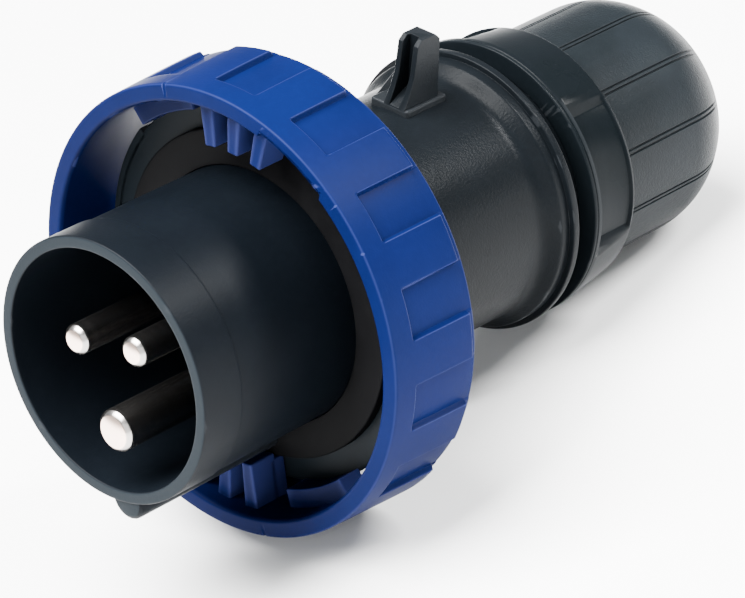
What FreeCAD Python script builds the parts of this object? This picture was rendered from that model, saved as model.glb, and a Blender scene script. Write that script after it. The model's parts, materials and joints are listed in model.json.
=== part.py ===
import FreeCAD, Part
import Sketcher
import math
import os

# Pin and sleeve plug, 16 A, two poles and earth, with a bayonet locking ring.
# The plug is drawn along X: the mouth of the shroud is at X = 0 and the cable leaves towards +X.
# Angles round the plug are counted about +X from the top, and the key of the shroud is at the bottom.
# The finished pieces are then tipped together, rear end down, as the plug lies on a table.

SIZES = {
    # shroud and key
    "shroud_radius": 22.0,
    "shroud_wall": 2.0,
    "shroud_depth": 34.0,
    "shroud_step": 0.3,
    "front_band": 8.2,
    "mouth_round": 0.5,
    "key_width": 5.6,
    "key_height": 3.2,
    "key_round": 2.7,
    "key_rear_gap": 2.6,
    "key_setback": 0.4,
    # flange that carries the locking ring
    "flange_setback": 1.5,
    "flange_thick": 3.5,
    "flange_overhang": 1.9,
    "flange_land_rise": 0.9,
    "flange_land_span": 58.0,
    "flange_land_start": 80.0,
    "flange_land_count": 2,
    # carrier of the pins
    "web_thick": 10.0,
    "neck_room": 0.2,
    "neck_wall": 2.0,
    "neck_screw_gap": 1.1,
    "pillar_radius": 2.6,
    "barrier_thick": 1.4,
    "barrier_room": 0.9,
    "barrier_end_gap": 1.2,
    "barrier_count": 3,
    # face gasket
    "gasket_thick": 2.0,
    "gasket_width": 5.8,
    "gasket_fit": 0.1,
    # contact pins
    "pin_side": 6.4,
    "pin_rise": 3.6,
    "earth_drop": 10.2,
    "pole_pin_radius": 2.5,
    "earth_pin_radius": 3.5,
    "pole_pin_tip": 1.0,
    "earth_pin_tip": 0.1,
    "pin_bevel": 0.5,
    "pin_root_step": 0.4,
    "pin_hole_fit": 0.05,
    "pole_barrel_radius": 4.2,
    "earth_barrel_radius": 4.6,
    "barrel_sink": 2.0,
    "barrel_length": 16.0,
    "wire_bore_radius": 1.9,
    "wire_bore_depth": 11.0,
    "terminal_screw_radius": 2.0,
    "terminal_head_radius": 2.9,
    "terminal_head_height": 1.6,
    "terminal_head_lift": 0.6,
    "terminal_screw_back": 7.0,
    "screw_slot": 0.8,
    "screw_end_room": 0.4,
    "guard_width": 2.0,
    "guard_thick": 0.4,
    "guard_length": 9.0,
    "guard_setback": 0.5,
    "guard_fit": 0.02,
    # plate over the wire ends
    "cover_room": 2.3,
    "cover_thick": 3.0,
    "cover_sink": 0.8,
    "cover_fit": 0.15,
    "funnel_radius": 3.3,
    "cover_screw_radius": 1.5,
    "cover_screw_length": 12.0,
    "cover_head_radius": 2.8,
    "cover_head_height": 1.8,
    # locking ring
    "ring_reach": 10.5,
    "ring_skirt": 3.0,
    "ring_rim_length": 1.4,
    "ring_wall": 3.7,
    "ring_rim_step": 0.8,
    "ring_land_gap": 1.6,
    "ring_relief_rise": 0.9,
    "ring_relief_depth": 6.0,
    "ring_relief_span": 24.0,
    "ring_edge": 0.4,
    "ring_root_bite": 0.5,
    "grip_setback": 4.5,
    "grip_depth": 1.0,
    "grip_count": 15,
    "grip_span": 12.4,
    "cam_setback": 2.8,
    "cam_gasket_gap": 0.4,
    "cam_angle": 14.0,
    "cam_span": 24.4,
    "cam_count": 2,
    "cam_fin_span": 4.6,
    "cam_fin_count": 3,
    "cam_slot_depth": 4.0,
    "ramp_height": 3.1,
    "ramp_setback": 5.5,
    "ramp_span": 24.0,
    "ramp_angle": -18.0,
    "ring_play": 0.3,
    "lip_span": 26.0,
    "lip_thick": 2.2,
    "lip_count": 4,
    "ring_running_fit": 0.1,
    "ring_turn": 45.0,
    "stop_margin": 1.0,
    "stop_count": 2,
    # housing behind the ring
    "base_width": 9.3,
    "base_thick": 3.5,
    "housing_radius": 21.2,
    "housing_wall": 2.7,
    "tube_length": 36.5,
    "flare_rise": 2.2,
    "flare_length": 2.2,
    "ledge_length": 1.9,
    "rear_flange_rise": 3.2,
    "rear_flange_thick": 1.4,
    "rear_neck_step": 0.8,
    "rear_neck_gap": 0.9,
    "seal_groove_width": 2.2,
    "seal_groove_setback": 1.05,
    "seal_groove_depth": 1.3,
    "neck_fit": 0.1,
    "neck_end_gap": 1.0,
    # screws between flange and housing
    "fixing_inset": 4.9,
    "fixing_angle": 45.0,
    "fixing_count": 4,
    "fixing_radius": 1.5,
    "fixing_head_radius": 2.7,
    "fixing_head_height": 1.7,
    "fixing_bite": 2.6,
    # lug on the housing
    "lug_angle": 14.0,
    "lug_setback": 11.0,
    "lug_length": 5.3,
    "lug_foot_lead": 2.8,
    "lug_foot_length": 9.6,
    "lug_width": 4.3,
    "lug_foot_near": 2.9,
    "lug_foot_far": 5.1,
    "lug_height": 12.2,
    "lug_corner": 1.0,
    "lug_knee_rise": 6.0,
    "lug_knee_lead": 0.6,
    "lug_sink": 1.5,
    "lug_foot_height": 1.0,
    "lug_channel_width": 2.3,
    "lug_channel_depth": 1.6,
    "lug_channel_rise": 1.6,
    "lug_web_setback": 1.0,
    "lug_web_width": 5.6,
    "lug_web_rise": 7.0,
    "lug_web_thick": 1.4,
    "lug_web_bite": 0.6,
    # collar that closes the housing
    "collar_gap": 4.3,
    "collar_length": 11.6,
    "collar_thick": 3.8,
    "collar_taper": 1.3,
    "collar_dip_depth": 1.9,
    "collar_lip": 1.6,
    "collar_rear_rim": 0.8,
    "collar_dip_start": 57.5,
    "collar_dip_span": 55.5,
    "collar_entry_ramp": 9.5,
    "collar_exit_ramp": 5.0,
    "collar_dip_count": 3,
    "collar_wall": 3.0,
    "spigot_radius": 16.4,
    "spigot_lap": 0.2,
    "spigot_wall": 2.8,
    "throat_room": 0.9,
    # cable gland
    "nut_gap": 0.3,
    "nut_length": 32.3,
    "nut_wall": 4.3,
    "dome_length": 8.7,
    "dome_fall": 5.4,
    "dome_round": 16.0,
    "dome_end_round": 7.5,
    "nut_thread_fit": 0.1,
    "cable_radius": 8.5,
    "nut_groove_count": 12,
    "nut_rim": 1.3,
    "nut_groove_angle": 23.0,
    "nut_groove_gap": 0.8,
    "nut_groove_width": 0.3,
    "nut_groove_depth": 0.35,
    "nut_groove_setback": 7.5,
    "seal_length": 9.0,
    "seal_bore_room": 0.3,
    "seal_fit": 0.1,
    "washer_thick": 1.2,
    "cage_base": 2.0,
    "cage_length": 5.6,
    "cage_fingers": 8,
    "cage_slot": 1.6,
    "cage_tip_wall": 2.0,
    "slip_ring_thick": 1.2,
    "slip_ring_fit": 0.1,
    "slip_ring_gap": 0.3,
    "body_seal_radius": 1.0,
}

DOCUMENT = FreeCAD.newDocument("pin_and_sleeve_plug")
SHEET = DOCUMENT.addObject("Spreadsheet::Sheet", "Sizes")
X_AXIS = FreeCAD.Vector(1, 0, 0)
Y_AXIS = FreeCAD.Vector(0, 1, 0)
ORIGIN = FreeCAD.Vector(0, 0, 0)

# How far a cutter runs past the surface that it cuts, and an added block into the one that it joins
MARGIN = 1.0


class Size:
    """A length, angle or count with its value and the formula that binds it to the sheet."""

    def __init__(self, value, text):
        self.value = float(value)
        self.text = text

    def __add__(self, other):
        other = size_of(other)
        return Size(self.value + other.value, f"({self.text} + {other.text})")

    def __sub__(self, other):
        other = size_of(other)
        return Size(self.value - other.value, f"({self.text} - {other.text})")

    def __mul__(self, other):
        other = size_of(other)
        return Size(self.value * other.value, f"({self.text} * {other.text})")

    def __truediv__(self, other):
        other = size_of(other)
        return Size(self.value / other.value, f"({self.text} / {other.text})")

    def __neg__(self):
        return Size(-self.value, f"(0 - {self.text})")

    def __radd__(self, other):
        return size_of(other) + self

    def __rsub__(self, other):
        return size_of(other) - self

    def __rmul__(self, other):
        return size_of(other) * self

    def __rtruediv__(self, other):
        return size_of(other) / self


def size_of(item):
    return item if isinstance(item, Size) else Size(item, repr(float(item)))


def root_of(item):
    return Size(math.sqrt(item.value), f"sqrt({item.text})")


def cos_of(angle):
    return Size(math.cos(math.radians(angle.value)), f"cos({angle.text} * 1 deg)")


def sin_of(angle):
    return Size(math.sin(math.radians(angle.value)), f"sin({angle.text} * 1 deg)")


def fill_sheet():
    """One row for each driving size: its name, its value and its alias."""
    for row, (name, value) in enumerate(SIZES.items(), start=1):
        SHEET.set(f"A{row}", name)
        SHEET.set(f"B{row}", str(value))
        SHEET.setAlias(f"B{row}", name)
    DOCUMENT.recompute()
    return {name: Size(value, f"Sizes.{name}") for name, value in SIZES.items()}


S = fill_sheet()


def bind(thing, path, size):
    """Ties one property of an object to the sheet."""
    size = size_of(size)
    thing.setExpression(path, size.text)


# Radii, each from its neighbour's
shroud_bore = S["shroud_radius"] - S["shroud_wall"]
shroud_rear_radius = S["shroud_radius"] - S["shroud_step"]
gasket_radius = S["shroud_radius"] + S["gasket_width"]
cam_inner_radius = gasket_radius + S["cam_gasket_gap"]
housing_bore = S["housing_radius"] - S["housing_wall"]
neck_radius = housing_bore - S["neck_room"]
neck_bore = neck_radius - S["neck_wall"]
barrier_reach = neck_bore - S["barrier_room"]
cover_radius = housing_bore - S["cover_room"]
base_radius = S["housing_radius"] + S["base_width"]
fixing_circle = base_radius - S["fixing_inset"]
flange_radius = base_radius + S["flange_overhang"]
flange_land_radius = flange_radius + S["flange_land_rise"]
ring_bore_radius = flange_land_radius + S["ring_land_gap"]
ring_relief_radius = ring_bore_radius + S["ring_relief_rise"]
ramp_inner_radius = ring_bore_radius - S["ramp_height"]
lip_inner_radius = base_radius + S["ring_running_fit"]
ring_radius = ring_bore_radius + S["ring_wall"]
ring_rim_radius = ring_radius - S["ring_rim_step"]
flare_radius = S["housing_radius"] + S["flare_rise"]
rear_flange_radius = S["housing_radius"] + S["rear_flange_rise"]
rear_neck_radius = S["housing_radius"] - S["rear_neck_step"]
collar_radius = rear_neck_radius + S["collar_thick"]
collar_rear_radius = collar_radius - S["collar_taper"]
collar_dip_radius = collar_radius - S["collar_dip_depth"]
seal_chamber_radius = S["spigot_radius"] - S["spigot_wall"]
cable_throat_radius = S["cable_radius"] + S["throat_room"]
seal_bore_radius = S["cable_radius"] + S["seal_bore_room"]
cage_tip_radius = cable_throat_radius + S["cage_tip_wall"]
nut_bore_radius = S["spigot_radius"] + S["nut_thread_fit"]
nut_radius = nut_bore_radius + S["nut_wall"]
dome_end_radius = nut_radius - S["dome_fall"]

# Places along the plug, each from the one before it
key_length = S["shroud_depth"] - S["key_setback"] - S["key_rear_gap"]
web_rear = S["shroud_depth"] + S["web_thick"]
flange_front = S["shroud_depth"] + S["flange_setback"]
flange_rear = flange_front + S["flange_thick"]
barrel_front = web_rear - S["barrel_sink"]
barrel_rear = barrel_front + S["barrel_length"]
terminal_screw_x = barrel_rear - S["terminal_screw_back"]
neck_rear = terminal_screw_x - S["terminal_head_radius"] - S["neck_screw_gap"]
cover_front = barrel_rear - S["cover_sink"]
cover_rear = cover_front + S["cover_thick"]
barrier_length = cover_front - web_rear - S["barrier_end_gap"]
base_rear = flange_rear + S["base_thick"]
ring_front = flange_front - S["ring_reach"]
ring_land_end = flange_rear + S["ring_skirt"]
ring_rear = ring_land_end + S["ring_rim_length"]
grip_start = ring_front + S["grip_setback"]
cam_front = ring_front + S["cam_setback"]
ramp_front = ring_front + S["ramp_setback"]
cam_rear = flange_front - S["ring_play"]
lip_front = flange_rear + S["ring_play"]
flare_start = base_rear + S["tube_length"]
flare_end = flare_start + S["flare_length"]
lug_front = flare_start - S["lug_setback"]
lug_foot_front = lug_front - S["lug_foot_lead"]
lug_web_front = lug_front + S["lug_web_setback"]
rear_flange_front = flare_end + S["ledge_length"]
rear_flange_rear = rear_flange_front + S["rear_flange_thick"]
collar_front = rear_flange_rear + S["collar_gap"]
collar_rear = collar_front + S["collar_length"]
collar_wall_front = collar_rear - S["collar_wall"]
rear_neck_end = collar_wall_front - S["rear_neck_gap"]
washer_front = collar_rear + S["seal_length"]
cage_front = washer_front + S["washer_thick"]
cage_fingers_front = cage_front + S["cage_base"]
cage_rear = cage_fingers_front + S["cage_length"]
spigot_rear = cage_fingers_front + S["spigot_lap"]
slip_ring_front = cage_rear + S["slip_ring_gap"]
slip_ring_rear = slip_ring_front + S["slip_ring_thick"]
nut_seat = slip_ring_rear + S["slip_ring_fit"]
nut_front = collar_rear + S["nut_gap"]
nut_rear = nut_front + S["nut_length"]
nut_groove_end = nut_rear - S["nut_groove_setback"]
dome_start = nut_rear - S["dome_length"]

PIECES = []


def new_body(label):
    body = DOCUMENT.addObject("PartDesign::Body", label)
    body.Label = label
    PIECES.append(body)
    return body


def origin_plane(body, role):
    return [item for item in body.Origin.OriginFeatures if item.Role == role][0]


def new_sketch(body, name, role, turn=0.0, offset=0.0):
    """A sketch on one of the body's own planes, turned about X and then moved along its normal."""
    sketch = body.newObject("Sketcher::SketchObject", name)
    sketch.AttachmentSupport = [(origin_plane(body, role), "")]
    sketch.MapMode = "FlatFace"
    turn = size_of(turn)
    offset = size_of(offset)
    rotation = FreeCAD.Rotation(X_AXIS, turn.value)
    lift = rotation.multVec(FreeCAD.Vector(0, 0, offset.value))
    sketch.AttachmentOffset = FreeCAD.Placement(lift, rotation)
    if turn.value:
        bind(sketch, ".AttachmentOffset.Rotation.Angle", turn)
        bind(sketch, ".AttachmentOffset.Base.y", -(offset * sin_of(turn)))
        bind(sketch, ".AttachmentOffset.Base.z", offset * cos_of(turn))
    else:
        bind(sketch, ".AttachmentOffset.Base.z", offset)
    return sketch


def pin_point(sketch, geometry, place, point):
    """Fixes one point of a sketch at two bound distances from the sketch's origin."""
    for kind, size in zip(("DistanceX", "DistanceY"), point):
        size = size_of(size)
        index = sketch.addConstraint(Sketcher.Constraint(kind, -1, 1, geometry, place, size.value))
        bind(sketch, f"Constraints[{index}]", size)


def outline(sketch, points):
    """A closed outline of straight lines through bound points."""
    vectors = [FreeCAD.Vector(size_of(a).value, size_of(b).value, 0) for a, b in points]
    first = sketch.GeometryCount
    count = len(points)
    for index in range(count):
        line = Part.LineSegment(vectors[index], vectors[(index + 1) % count])
        sketch.addGeometry(line, False)
    for index in range(count):
        following = first + (index + 1) % count
        sketch.addConstraint(Sketcher.Constraint("Coincident", first + index, 2, following, 1))
    for index, point in enumerate(points):
        pin_point(sketch, first + index, 1, point)


def circle(sketch, centre, radius):
    radius = size_of(radius)
    middle = FreeCAD.Vector(size_of(centre[0]).value, size_of(centre[1]).value, 0)
    index = sketch.GeometryCount
    sketch.addGeometry(Part.Circle(middle, FreeCAD.Vector(0, 0, 1), radius.value), False)
    pin_point(sketch, index, 3, centre)
    constraint = sketch.addConstraint(Sketcher.Constraint("Radius", index, radius.value))
    bind(sketch, f"Constraints[{constraint}]", radius)


def rectangle(sketch, low, high):
    outline(sketch, [low, (high[0], low[1]), high, (low[0], high[1])])


def revolve(body, kind, name, points, start=0.0, span=360.0):
    """Adds or removes an outline of (place along X, radius) turned about the plug's axis."""
    sketch = new_sketch(body, name + "_profile", "XZ_Plane", turn=start)
    outline(sketch, points)
    feature = body.newObject(f"PartDesign::{kind}", name)
    feature.Profile = sketch
    feature.ReferenceAxis = (sketch, ["H_Axis"])
    span = size_of(span)
    feature.Angle = span.value
    bind(feature, "Angle", span)
    DOCUMENT.recompute()
    body.Tip = feature
    return feature


def pad(body, name, sketch, length, reverse=False):
    feature = body.newObject("PartDesign::Pad", name)
    feature.Profile = sketch
    feature.Reversed = reverse
    feature.Length = size_of(length).value
    bind(feature, "Length", length)
    DOCUMENT.recompute()
    return feature


def pocket(body, name, sketch, length, reverse=False):
    """A pocket whose loss of volume is checked, because one that points outwards cuts nothing."""
    before = body.Tip.Shape.Volume
    feature = body.newObject("PartDesign::Pocket", name)
    feature.Profile = sketch
    feature.Reversed = reverse
    feature.Length = size_of(length).value
    bind(feature, "Length", length)
    DOCUMENT.recompute()
    if feature.Shape.Volume >= before:
        raise RuntimeError(f"{name} cuts nothing")
    return feature


def polar(body, name, features, count, span=360.0):
    """Repeats features round the plug's axis and makes the result the body's tip."""
    pattern = body.newObject("PartDesign::PolarPattern", name)
    pattern.Originals = features
    pattern.Axis = (origin_axis(body), [""])
    pattern.Angle = span
    count = size_of(count)
    pattern.Occurrences = int(count.value)
    bind(pattern, "Occurrences", count)
    DOCUMENT.recompute()
    body.Tip = pattern
    return pattern


def origin_axis(body):
    return origin_plane(body, "X_Axis")


def edges_where(shape, test):
    return [f"Edge{index}" for index, edge in enumerate(shape.Edges, start=1) if test(edge)]


def is_round_edge(edge, place, radius):
    """True for a full circle about the plug's axis at this place and of this radius."""
    curve = edge.Curve
    if not isinstance(curve, Part.Circle):
        return False
    centred = math.hypot(curve.Center.y, curve.Center.z) < 0.01
    return centred and abs(curve.Center.x - place) < 0.01 and abs(curve.Radius - radius) < 0.01


def is_long_edge(edge, side, rise):
    """True for a straight edge along the plug at this height and this far to either side."""
    if not isinstance(edge.Curve, Part.Line):
        return False
    return all(math.hypot(abs(end.Y) - side, end.Z - rise) < 0.01 for end in edge.Vertexes)


def dress(body, kind, name, edges, size):
    """A fillet or chamfer on chosen edges of the body's tip."""
    base = body.Tip
    feature = body.newObject(f"PartDesign::{kind}", name)
    feature.Base = (base, edges)
    path = "Radius" if kind == "Fillet" else "Size"
    setattr(feature, path, size_of(size).value)
    bind(feature, path, size)
    DOCUMENT.recompute()
    body.Tip = feature
    return feature


def at_angle(angle, radius):
    """Sketch coordinates on a plane across the plug for a point at an angle from the top."""
    return (-(radius * sin_of(angle)), radius * cos_of(angle))


def cylinder(name, radius, start, length, y=0.0, z=0.0):
    """A round bar along X."""
    part = DOCUMENT.addObject("Part::Cylinder", name)
    part.Placement = FreeCAD.Placement(ORIGIN, FreeCAD.Rotation(Y_AXIS, 90))
    bind(part, "Radius", radius)
    bind(part, "Height", length)
    bind(part, ".Placement.Base.x", start)
    bind(part, ".Placement.Base.y", y)
    bind(part, ".Placement.Base.z", z)
    return part


def cone(name, first_radius, last_radius, start, length, y=0.0, z=0.0):
    part = DOCUMENT.addObject("Part::Cone", name)
    part.Placement = FreeCAD.Placement(ORIGIN, FreeCAD.Rotation(Y_AXIS, 90))
    bind(part, "Radius1", first_radius)
    bind(part, "Radius2", last_radius)
    bind(part, "Height", length)
    bind(part, ".Placement.Base.x", start)
    bind(part, ".Placement.Base.y", y)
    bind(part, ".Placement.Base.z", z)
    return part


def join(name, parts):
    fused = DOCUMENT.addObject("Part::MultiFuse", name)
    fused.Shapes = parts
    fused.Refine = True
    return fused


def cut(name, base, tool):
    result = DOCUMENT.addObject("Part::Cut", name)
    result.Base = base
    result.Tool = tool
    return result


def finish_piece(part, label):
    part.Label = label
    PIECES.append(part)
    return part


# Where the three contacts stand: name, side, height, pin radius, barrel radius and place of the tip
POLE = (S["pole_pin_radius"], S["pole_barrel_radius"], S["pole_pin_tip"])
EARTH = (S["earth_pin_radius"], S["earth_barrel_radius"], S["earth_pin_tip"])
CONTACTS = [
    ("phase", S["pin_side"], S["pin_rise"], *POLE),
    ("neutral", -S["pin_side"], S["pin_rise"], *POLE),
    ("earth", size_of(0), -S["earth_drop"], *EARTH),
]


def make_shroud_carrier():
    """Shroud, flange and pin carrier moulded as one, with the key under the shroud."""
    body = new_body("shroud_carrier")
    revolve(body, "Revolution", "shroud", [
        (0, shroud_bore),
        (0, S["shroud_radius"]),
        (S["front_band"], S["shroud_radius"]),
        (S["front_band"], shroud_rear_radius),
        (flange_front, shroud_rear_radius),
        (flange_front, flange_radius),
        (flange_rear, flange_radius),
        (flange_rear, neck_radius),
        (neck_rear, neck_radius),
        (neck_rear, neck_bore),
        (web_rear, neck_bore),
        (web_rear, 0),
        (S["shroud_depth"], 0),
        (S["shroud_depth"], shroud_bore),
    ])
    land = revolve(body, "Revolution", "flange_land", [
        (flange_front, flange_radius - MARGIN),
        (flange_front, flange_land_radius),
        (flange_rear, flange_land_radius),
        (flange_rear, flange_radius - MARGIN),
    ], start=S["flange_land_start"], span=S["flange_land_span"])
    polar(body, "flange_lands", [land], S["flange_land_count"])
    rims = (S["shroud_radius"].value, shroud_bore.value)
    mouth = edges_where(body.Tip.Shape, lambda edge: any(is_round_edge(edge, 0, rim) for rim in rims))
    dress(body, "Fillet", "mouth_rounding", mouth, S["mouth_round"])
    # the key stands out under the shroud and starts just behind its mouth
    key = new_sketch(body, "key_profile", "YZ_Plane", offset=S["key_setback"])
    key_foot = S["shroud_radius"] - S["shroud_wall"] / 2
    rectangle(
        key,
        (-(S["key_width"] / 2), -(S["shroud_radius"] + S["key_height"])),
        (S["key_width"] / 2, -key_foot),
    )
    body.Tip = pad(body, "key", key, key_length)
    key_side = S["key_width"].value / 2
    key_low = -(S["shroud_radius"] + S["key_height"]).value
    corners = edges_where(body.Tip.Shape, lambda edge: is_long_edge(edge, key_side, key_low))
    dress(body, "Fillet", "key_rounding", corners, S["key_round"])
    # seats for the three contacts, drilled through the web and opened out behind
    for name, side, rise, pin_radius, barrel_radius, _ in CONTACTS:
        hole = new_sketch(body, name + "_hole", "YZ_Plane", offset=web_rear)
        circle(hole, (side, rise), pin_radius + S["pin_root_step"] + S["pin_hole_fit"])
        body.Tip = pocket(body, name + "_bore", hole, S["web_thick"])
        seat = new_sketch(body, name + "_seat_circle", "YZ_Plane", offset=web_rear)
        circle(seat, (side, rise), barrel_radius + S["cover_fit"])
        body.Tip = pocket(body, name + "_seat", seat, S["barrel_sink"])
    # pillar for the cover's screw and the walls between the terminals
    pillar = new_sketch(body, "pillar_circle", "YZ_Plane", offset=web_rear)
    circle(pillar, (0, 0), S["pillar_radius"])
    body.Tip = pad(body, "pillar", pillar, cover_front - web_rear)
    half = S["barrier_thick"] / 2
    wall = new_sketch(body, "barrier_profile", "YZ_Plane", offset=web_rear)
    rectangle(wall, (-half, S["pillar_radius"] / 2), (half, barrier_reach))
    barrier = pad(body, "barrier", wall, barrier_length)
    body.Tip = barrier
    polar(body, "barriers", [barrier], S["barrier_count"])
    screw_hole = new_sketch(body, "cover_screw_circle", "YZ_Plane", offset=cover_front)
    circle(screw_hole, (0, 0), S["cover_screw_radius"])
    body.Tip = pocket(body, "cover_screw_hole", screw_hole, S["cover_screw_length"] - S["cover_thick"])
    # blind holes for the screws that hold the housing
    fixing = new_sketch(body, "fixing_circle", "YZ_Plane", offset=flange_rear)
    circle(fixing, at_angle(S["fixing_angle"], fixing_circle), S["fixing_radius"])
    hole = pocket(body, "fixing_hole", fixing, S["fixing_bite"])
    polar(body, "fixing_holes", [hole], S["fixing_count"])


def make_face_gasket():
    body = new_body("face_gasket")
    front = flange_front - S["gasket_thick"]
    inner = shroud_rear_radius + S["gasket_fit"]
    revolve(body, "Revolution", "gasket", [
        (front, inner),
        (front, gasket_radius),
        (flange_front, gasket_radius),
        (flange_front, inner),
    ])


def make_locking_ring():
    """Bayonet ring: grip recesses outside, finned cams in front of the flange and lips behind it."""
    body = new_body("locking_ring")
    revolve(body, "Revolution", "ring", [
        (ring_front, ring_bore_radius),
        (ring_front, ring_radius - S["ring_edge"]),
        (ring_front + S["ring_edge"], ring_radius),
        (ring_land_end - S["ring_edge"], ring_radius),
        (ring_land_end, ring_radius - S["ring_edge"]),
        (ring_land_end, ring_rim_radius),
        (ring_rear - S["ring_edge"], ring_rim_radius),
        (ring_rear, ring_rim_radius - S["ring_edge"]),
        (ring_rear, ring_bore_radius),
    ])
    pitch = 360 / S["grip_count"]
    grip = revolve(body, "Groove", "grip", [
        (grip_start, ring_radius - S["grip_depth"]),
        (grip_start, ring_radius + MARGIN),
        (ring_rear + MARGIN, ring_radius + MARGIN),
        (ring_rear + MARGIN, ring_radius - S["grip_depth"]),
    ], start=pitch / 2 - S["grip_span"] / 2, span=S["grip_span"])
    polar(body, "grips", [grip], S["grip_count"])
    relief = revolve(body, "Groove", "mouth_relief", [
        (ring_front - MARGIN, ring_bore_radius - MARGIN),
        (ring_front - MARGIN, ring_relief_radius),
        (ring_front + S["ring_relief_depth"], ring_relief_radius),
        (ring_front + S["ring_relief_depth"], ring_bore_radius - MARGIN),
    ], start=S["cam_angle"] + S["cam_span"] / 2, span=S["ring_relief_span"])
    polar(body, "mouth_reliefs", [relief], S["cam_count"])
    root = ring_bore_radius + S["ring_root_bite"]
    cam = revolve(body, "Revolution", "cam", [
        (cam_front + S["cam_slot_depth"], cam_inner_radius),
        (cam_front + S["cam_slot_depth"], root),
        (cam_rear, root),
        (cam_rear, cam_inner_radius),
    ], start=S["cam_angle"] - S["cam_span"] / 2, span=S["cam_span"])
    polar(body, "cams", [cam], S["cam_count"])
    step = (S["cam_span"] - S["cam_fin_span"]) / (S["cam_fin_count"] - 1)
    for index in range(int(S["cam_fin_count"].value)):
        start = S["cam_angle"] - S["cam_span"] / 2 + step * index
        fin = revolve(body, "Revolution", f"fin{index}", [
            (cam_front, cam_inner_radius),
            (cam_front, root),
            (cam_rear, root),
            (cam_rear, cam_inner_radius),
        ], start=start, span=S["cam_fin_span"])
        polar(body, f"fins{index}", [fin], S["cam_count"])
    ramp = revolve(body, "Revolution", "ramp", [
        (ramp_front, ramp_inner_radius),
        (ramp_front, root),
        (cam_rear, root),
        (cam_rear, ramp_inner_radius),
    ], start=S["ramp_angle"] - S["ramp_span"] / 2, span=S["ramp_span"])
    polar(body, "ramps", [ramp], S["cam_count"])
    lip = revolve(body, "Revolution", "lip", [
        (lip_front, lip_inner_radius),
        (lip_front, root),
        (lip_front + S["lip_thick"], root),
        (lip_front + S["lip_thick"], lip_inner_radius),
    ], start=-(S["lip_span"] / 2), span=S["lip_span"])
    polar(body, "lips", [lip], S["lip_count"])


def make_body_housing():
    """Tube behind the ring, with its base, rear flange, neck and lug."""
    body = new_body("body_housing")
    groove_start = rear_flange_rear + S["seal_groove_setback"]
    groove_floor = rear_neck_radius - S["seal_groove_depth"]
    revolve(body, "Revolution", "tube", [
        (flange_rear, neck_radius + S["neck_fit"]),
        (flange_rear, base_radius),
        (base_rear, base_radius),
        (base_rear, S["housing_radius"]),
        (flare_start, S["housing_radius"]),
        (flare_end, flare_radius),
        (rear_flange_front, flare_radius),
        (rear_flange_front, rear_flange_radius),
        (rear_flange_rear, rear_flange_radius),
        (rear_flange_rear, rear_neck_radius),
        (groove_start, rear_neck_radius),
        (groove_start, groove_floor),
        (groove_start + S["seal_groove_width"], groove_floor),
        (groove_start + S["seal_groove_width"], rear_neck_radius),
        (rear_neck_end, rear_neck_radius),
        (rear_neck_end, housing_bore),
        (neck_rear + S["neck_end_gap"], housing_bore),
        (neck_rear + S["neck_end_gap"], neck_radius + S["neck_fit"]),
    ])
    # stops for the ring's lips, two blocks on the rim of the base
    lip_pitch = 360 / S["lip_count"]
    stop_start = S["lip_span"] / 2 + S["ring_turn"] + S["stop_margin"]
    stop_end = lip_pitch - S["lip_span"] / 2 - S["stop_margin"]
    stop = revolve(body, "Revolution", "ring_stop", [
        (flange_rear, base_radius - MARGIN),
        (flange_rear, flange_radius),
        (base_rear, flange_radius),
        (base_rear, base_radius - MARGIN),
    ], start=stop_start, span=stop_end - stop_start)
    polar(body, "ring_stops", [stop], S["stop_count"])
    fixing = new_sketch(body, "fixing_circle", "YZ_Plane", offset=base_rear)
    circle(fixing, at_angle(S["fixing_angle"], fixing_circle), S["fixing_radius"] + S["pin_hole_fit"])
    hole = pocket(body, "fixing_hole", fixing, S["base_thick"])
    polar(body, "fixing_holes", [hole], S["fixing_count"])
    make_lug(body)


def make_lug(body):
    """An upright with a thumb channel in its front, on a low foot, with a sloping web on its far side."""
    root = S["housing_radius"] - S["lug_sink"]
    top = S["housing_radius"] + S["lug_height"]
    foot_top = S["housing_radius"] + S["lug_foot_height"]
    lug_rear = lug_front + S["lug_length"]
    foot = new_sketch(body, "lug_foot_plan", "XY_Plane", turn=S["lug_angle"])
    rectangle(
        foot,
        (lug_foot_front, -S["lug_foot_near"]),
        (lug_foot_front + S["lug_foot_length"], S["lug_foot_far"]),
    )
    body.Tip = pad(body, "lug_foot", foot, foot_top)
    body.Tip = lug_core_cut(body)
    upright = new_sketch(body, "lug_section", "XZ_Plane", turn=S["lug_angle"])
    outline(upright, [
        (lug_foot_front, root),
        (lug_foot_front, foot_top),
        (lug_front - S["lug_knee_lead"], S["housing_radius"] + S["lug_knee_rise"]),
        (lug_front, top - S["lug_corner"]),
        (lug_front + S["lug_corner"], top),
        (lug_rear - S["lug_corner"], top),
        (lug_rear, top - S["lug_corner"]),
        (lug_rear, root),
    ])
    body.Tip = mid_pad(body, "lug", upright, S["lug_width"])
    channel_floor = S["housing_radius"] + S["lug_channel_rise"]
    channel = new_sketch(body, "lug_channel_plan", "XY_Plane", turn=S["lug_angle"], offset=channel_floor)
    rectangle(
        channel,
        (lug_foot_front - MARGIN, -(S["lug_channel_width"] / 2)),
        (lug_front + S["lug_channel_depth"], S["lug_channel_width"] / 2),
    )
    body.Tip = pocket(body, "lug_channel", channel, top + MARGIN - channel_floor, reverse=True)
    web = new_sketch(body, "lug_web_section", "YZ_Plane", offset=lug_web_front)
    slope = S["lug_width"] / 2
    web_top = S["housing_radius"] + S["lug_web_rise"]
    outline(web, [
        turned(S["lug_angle"], slope - S["lug_web_bite"], root),
        turned(S["lug_angle"], slope - S["lug_web_bite"], web_top),
        turned(S["lug_angle"], slope, web_top),
        turned(S["lug_angle"], slope + S["lug_web_width"], root),
    ])
    body.Tip = pad(body, "lug_web", web, S["lug_web_thick"])


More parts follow.
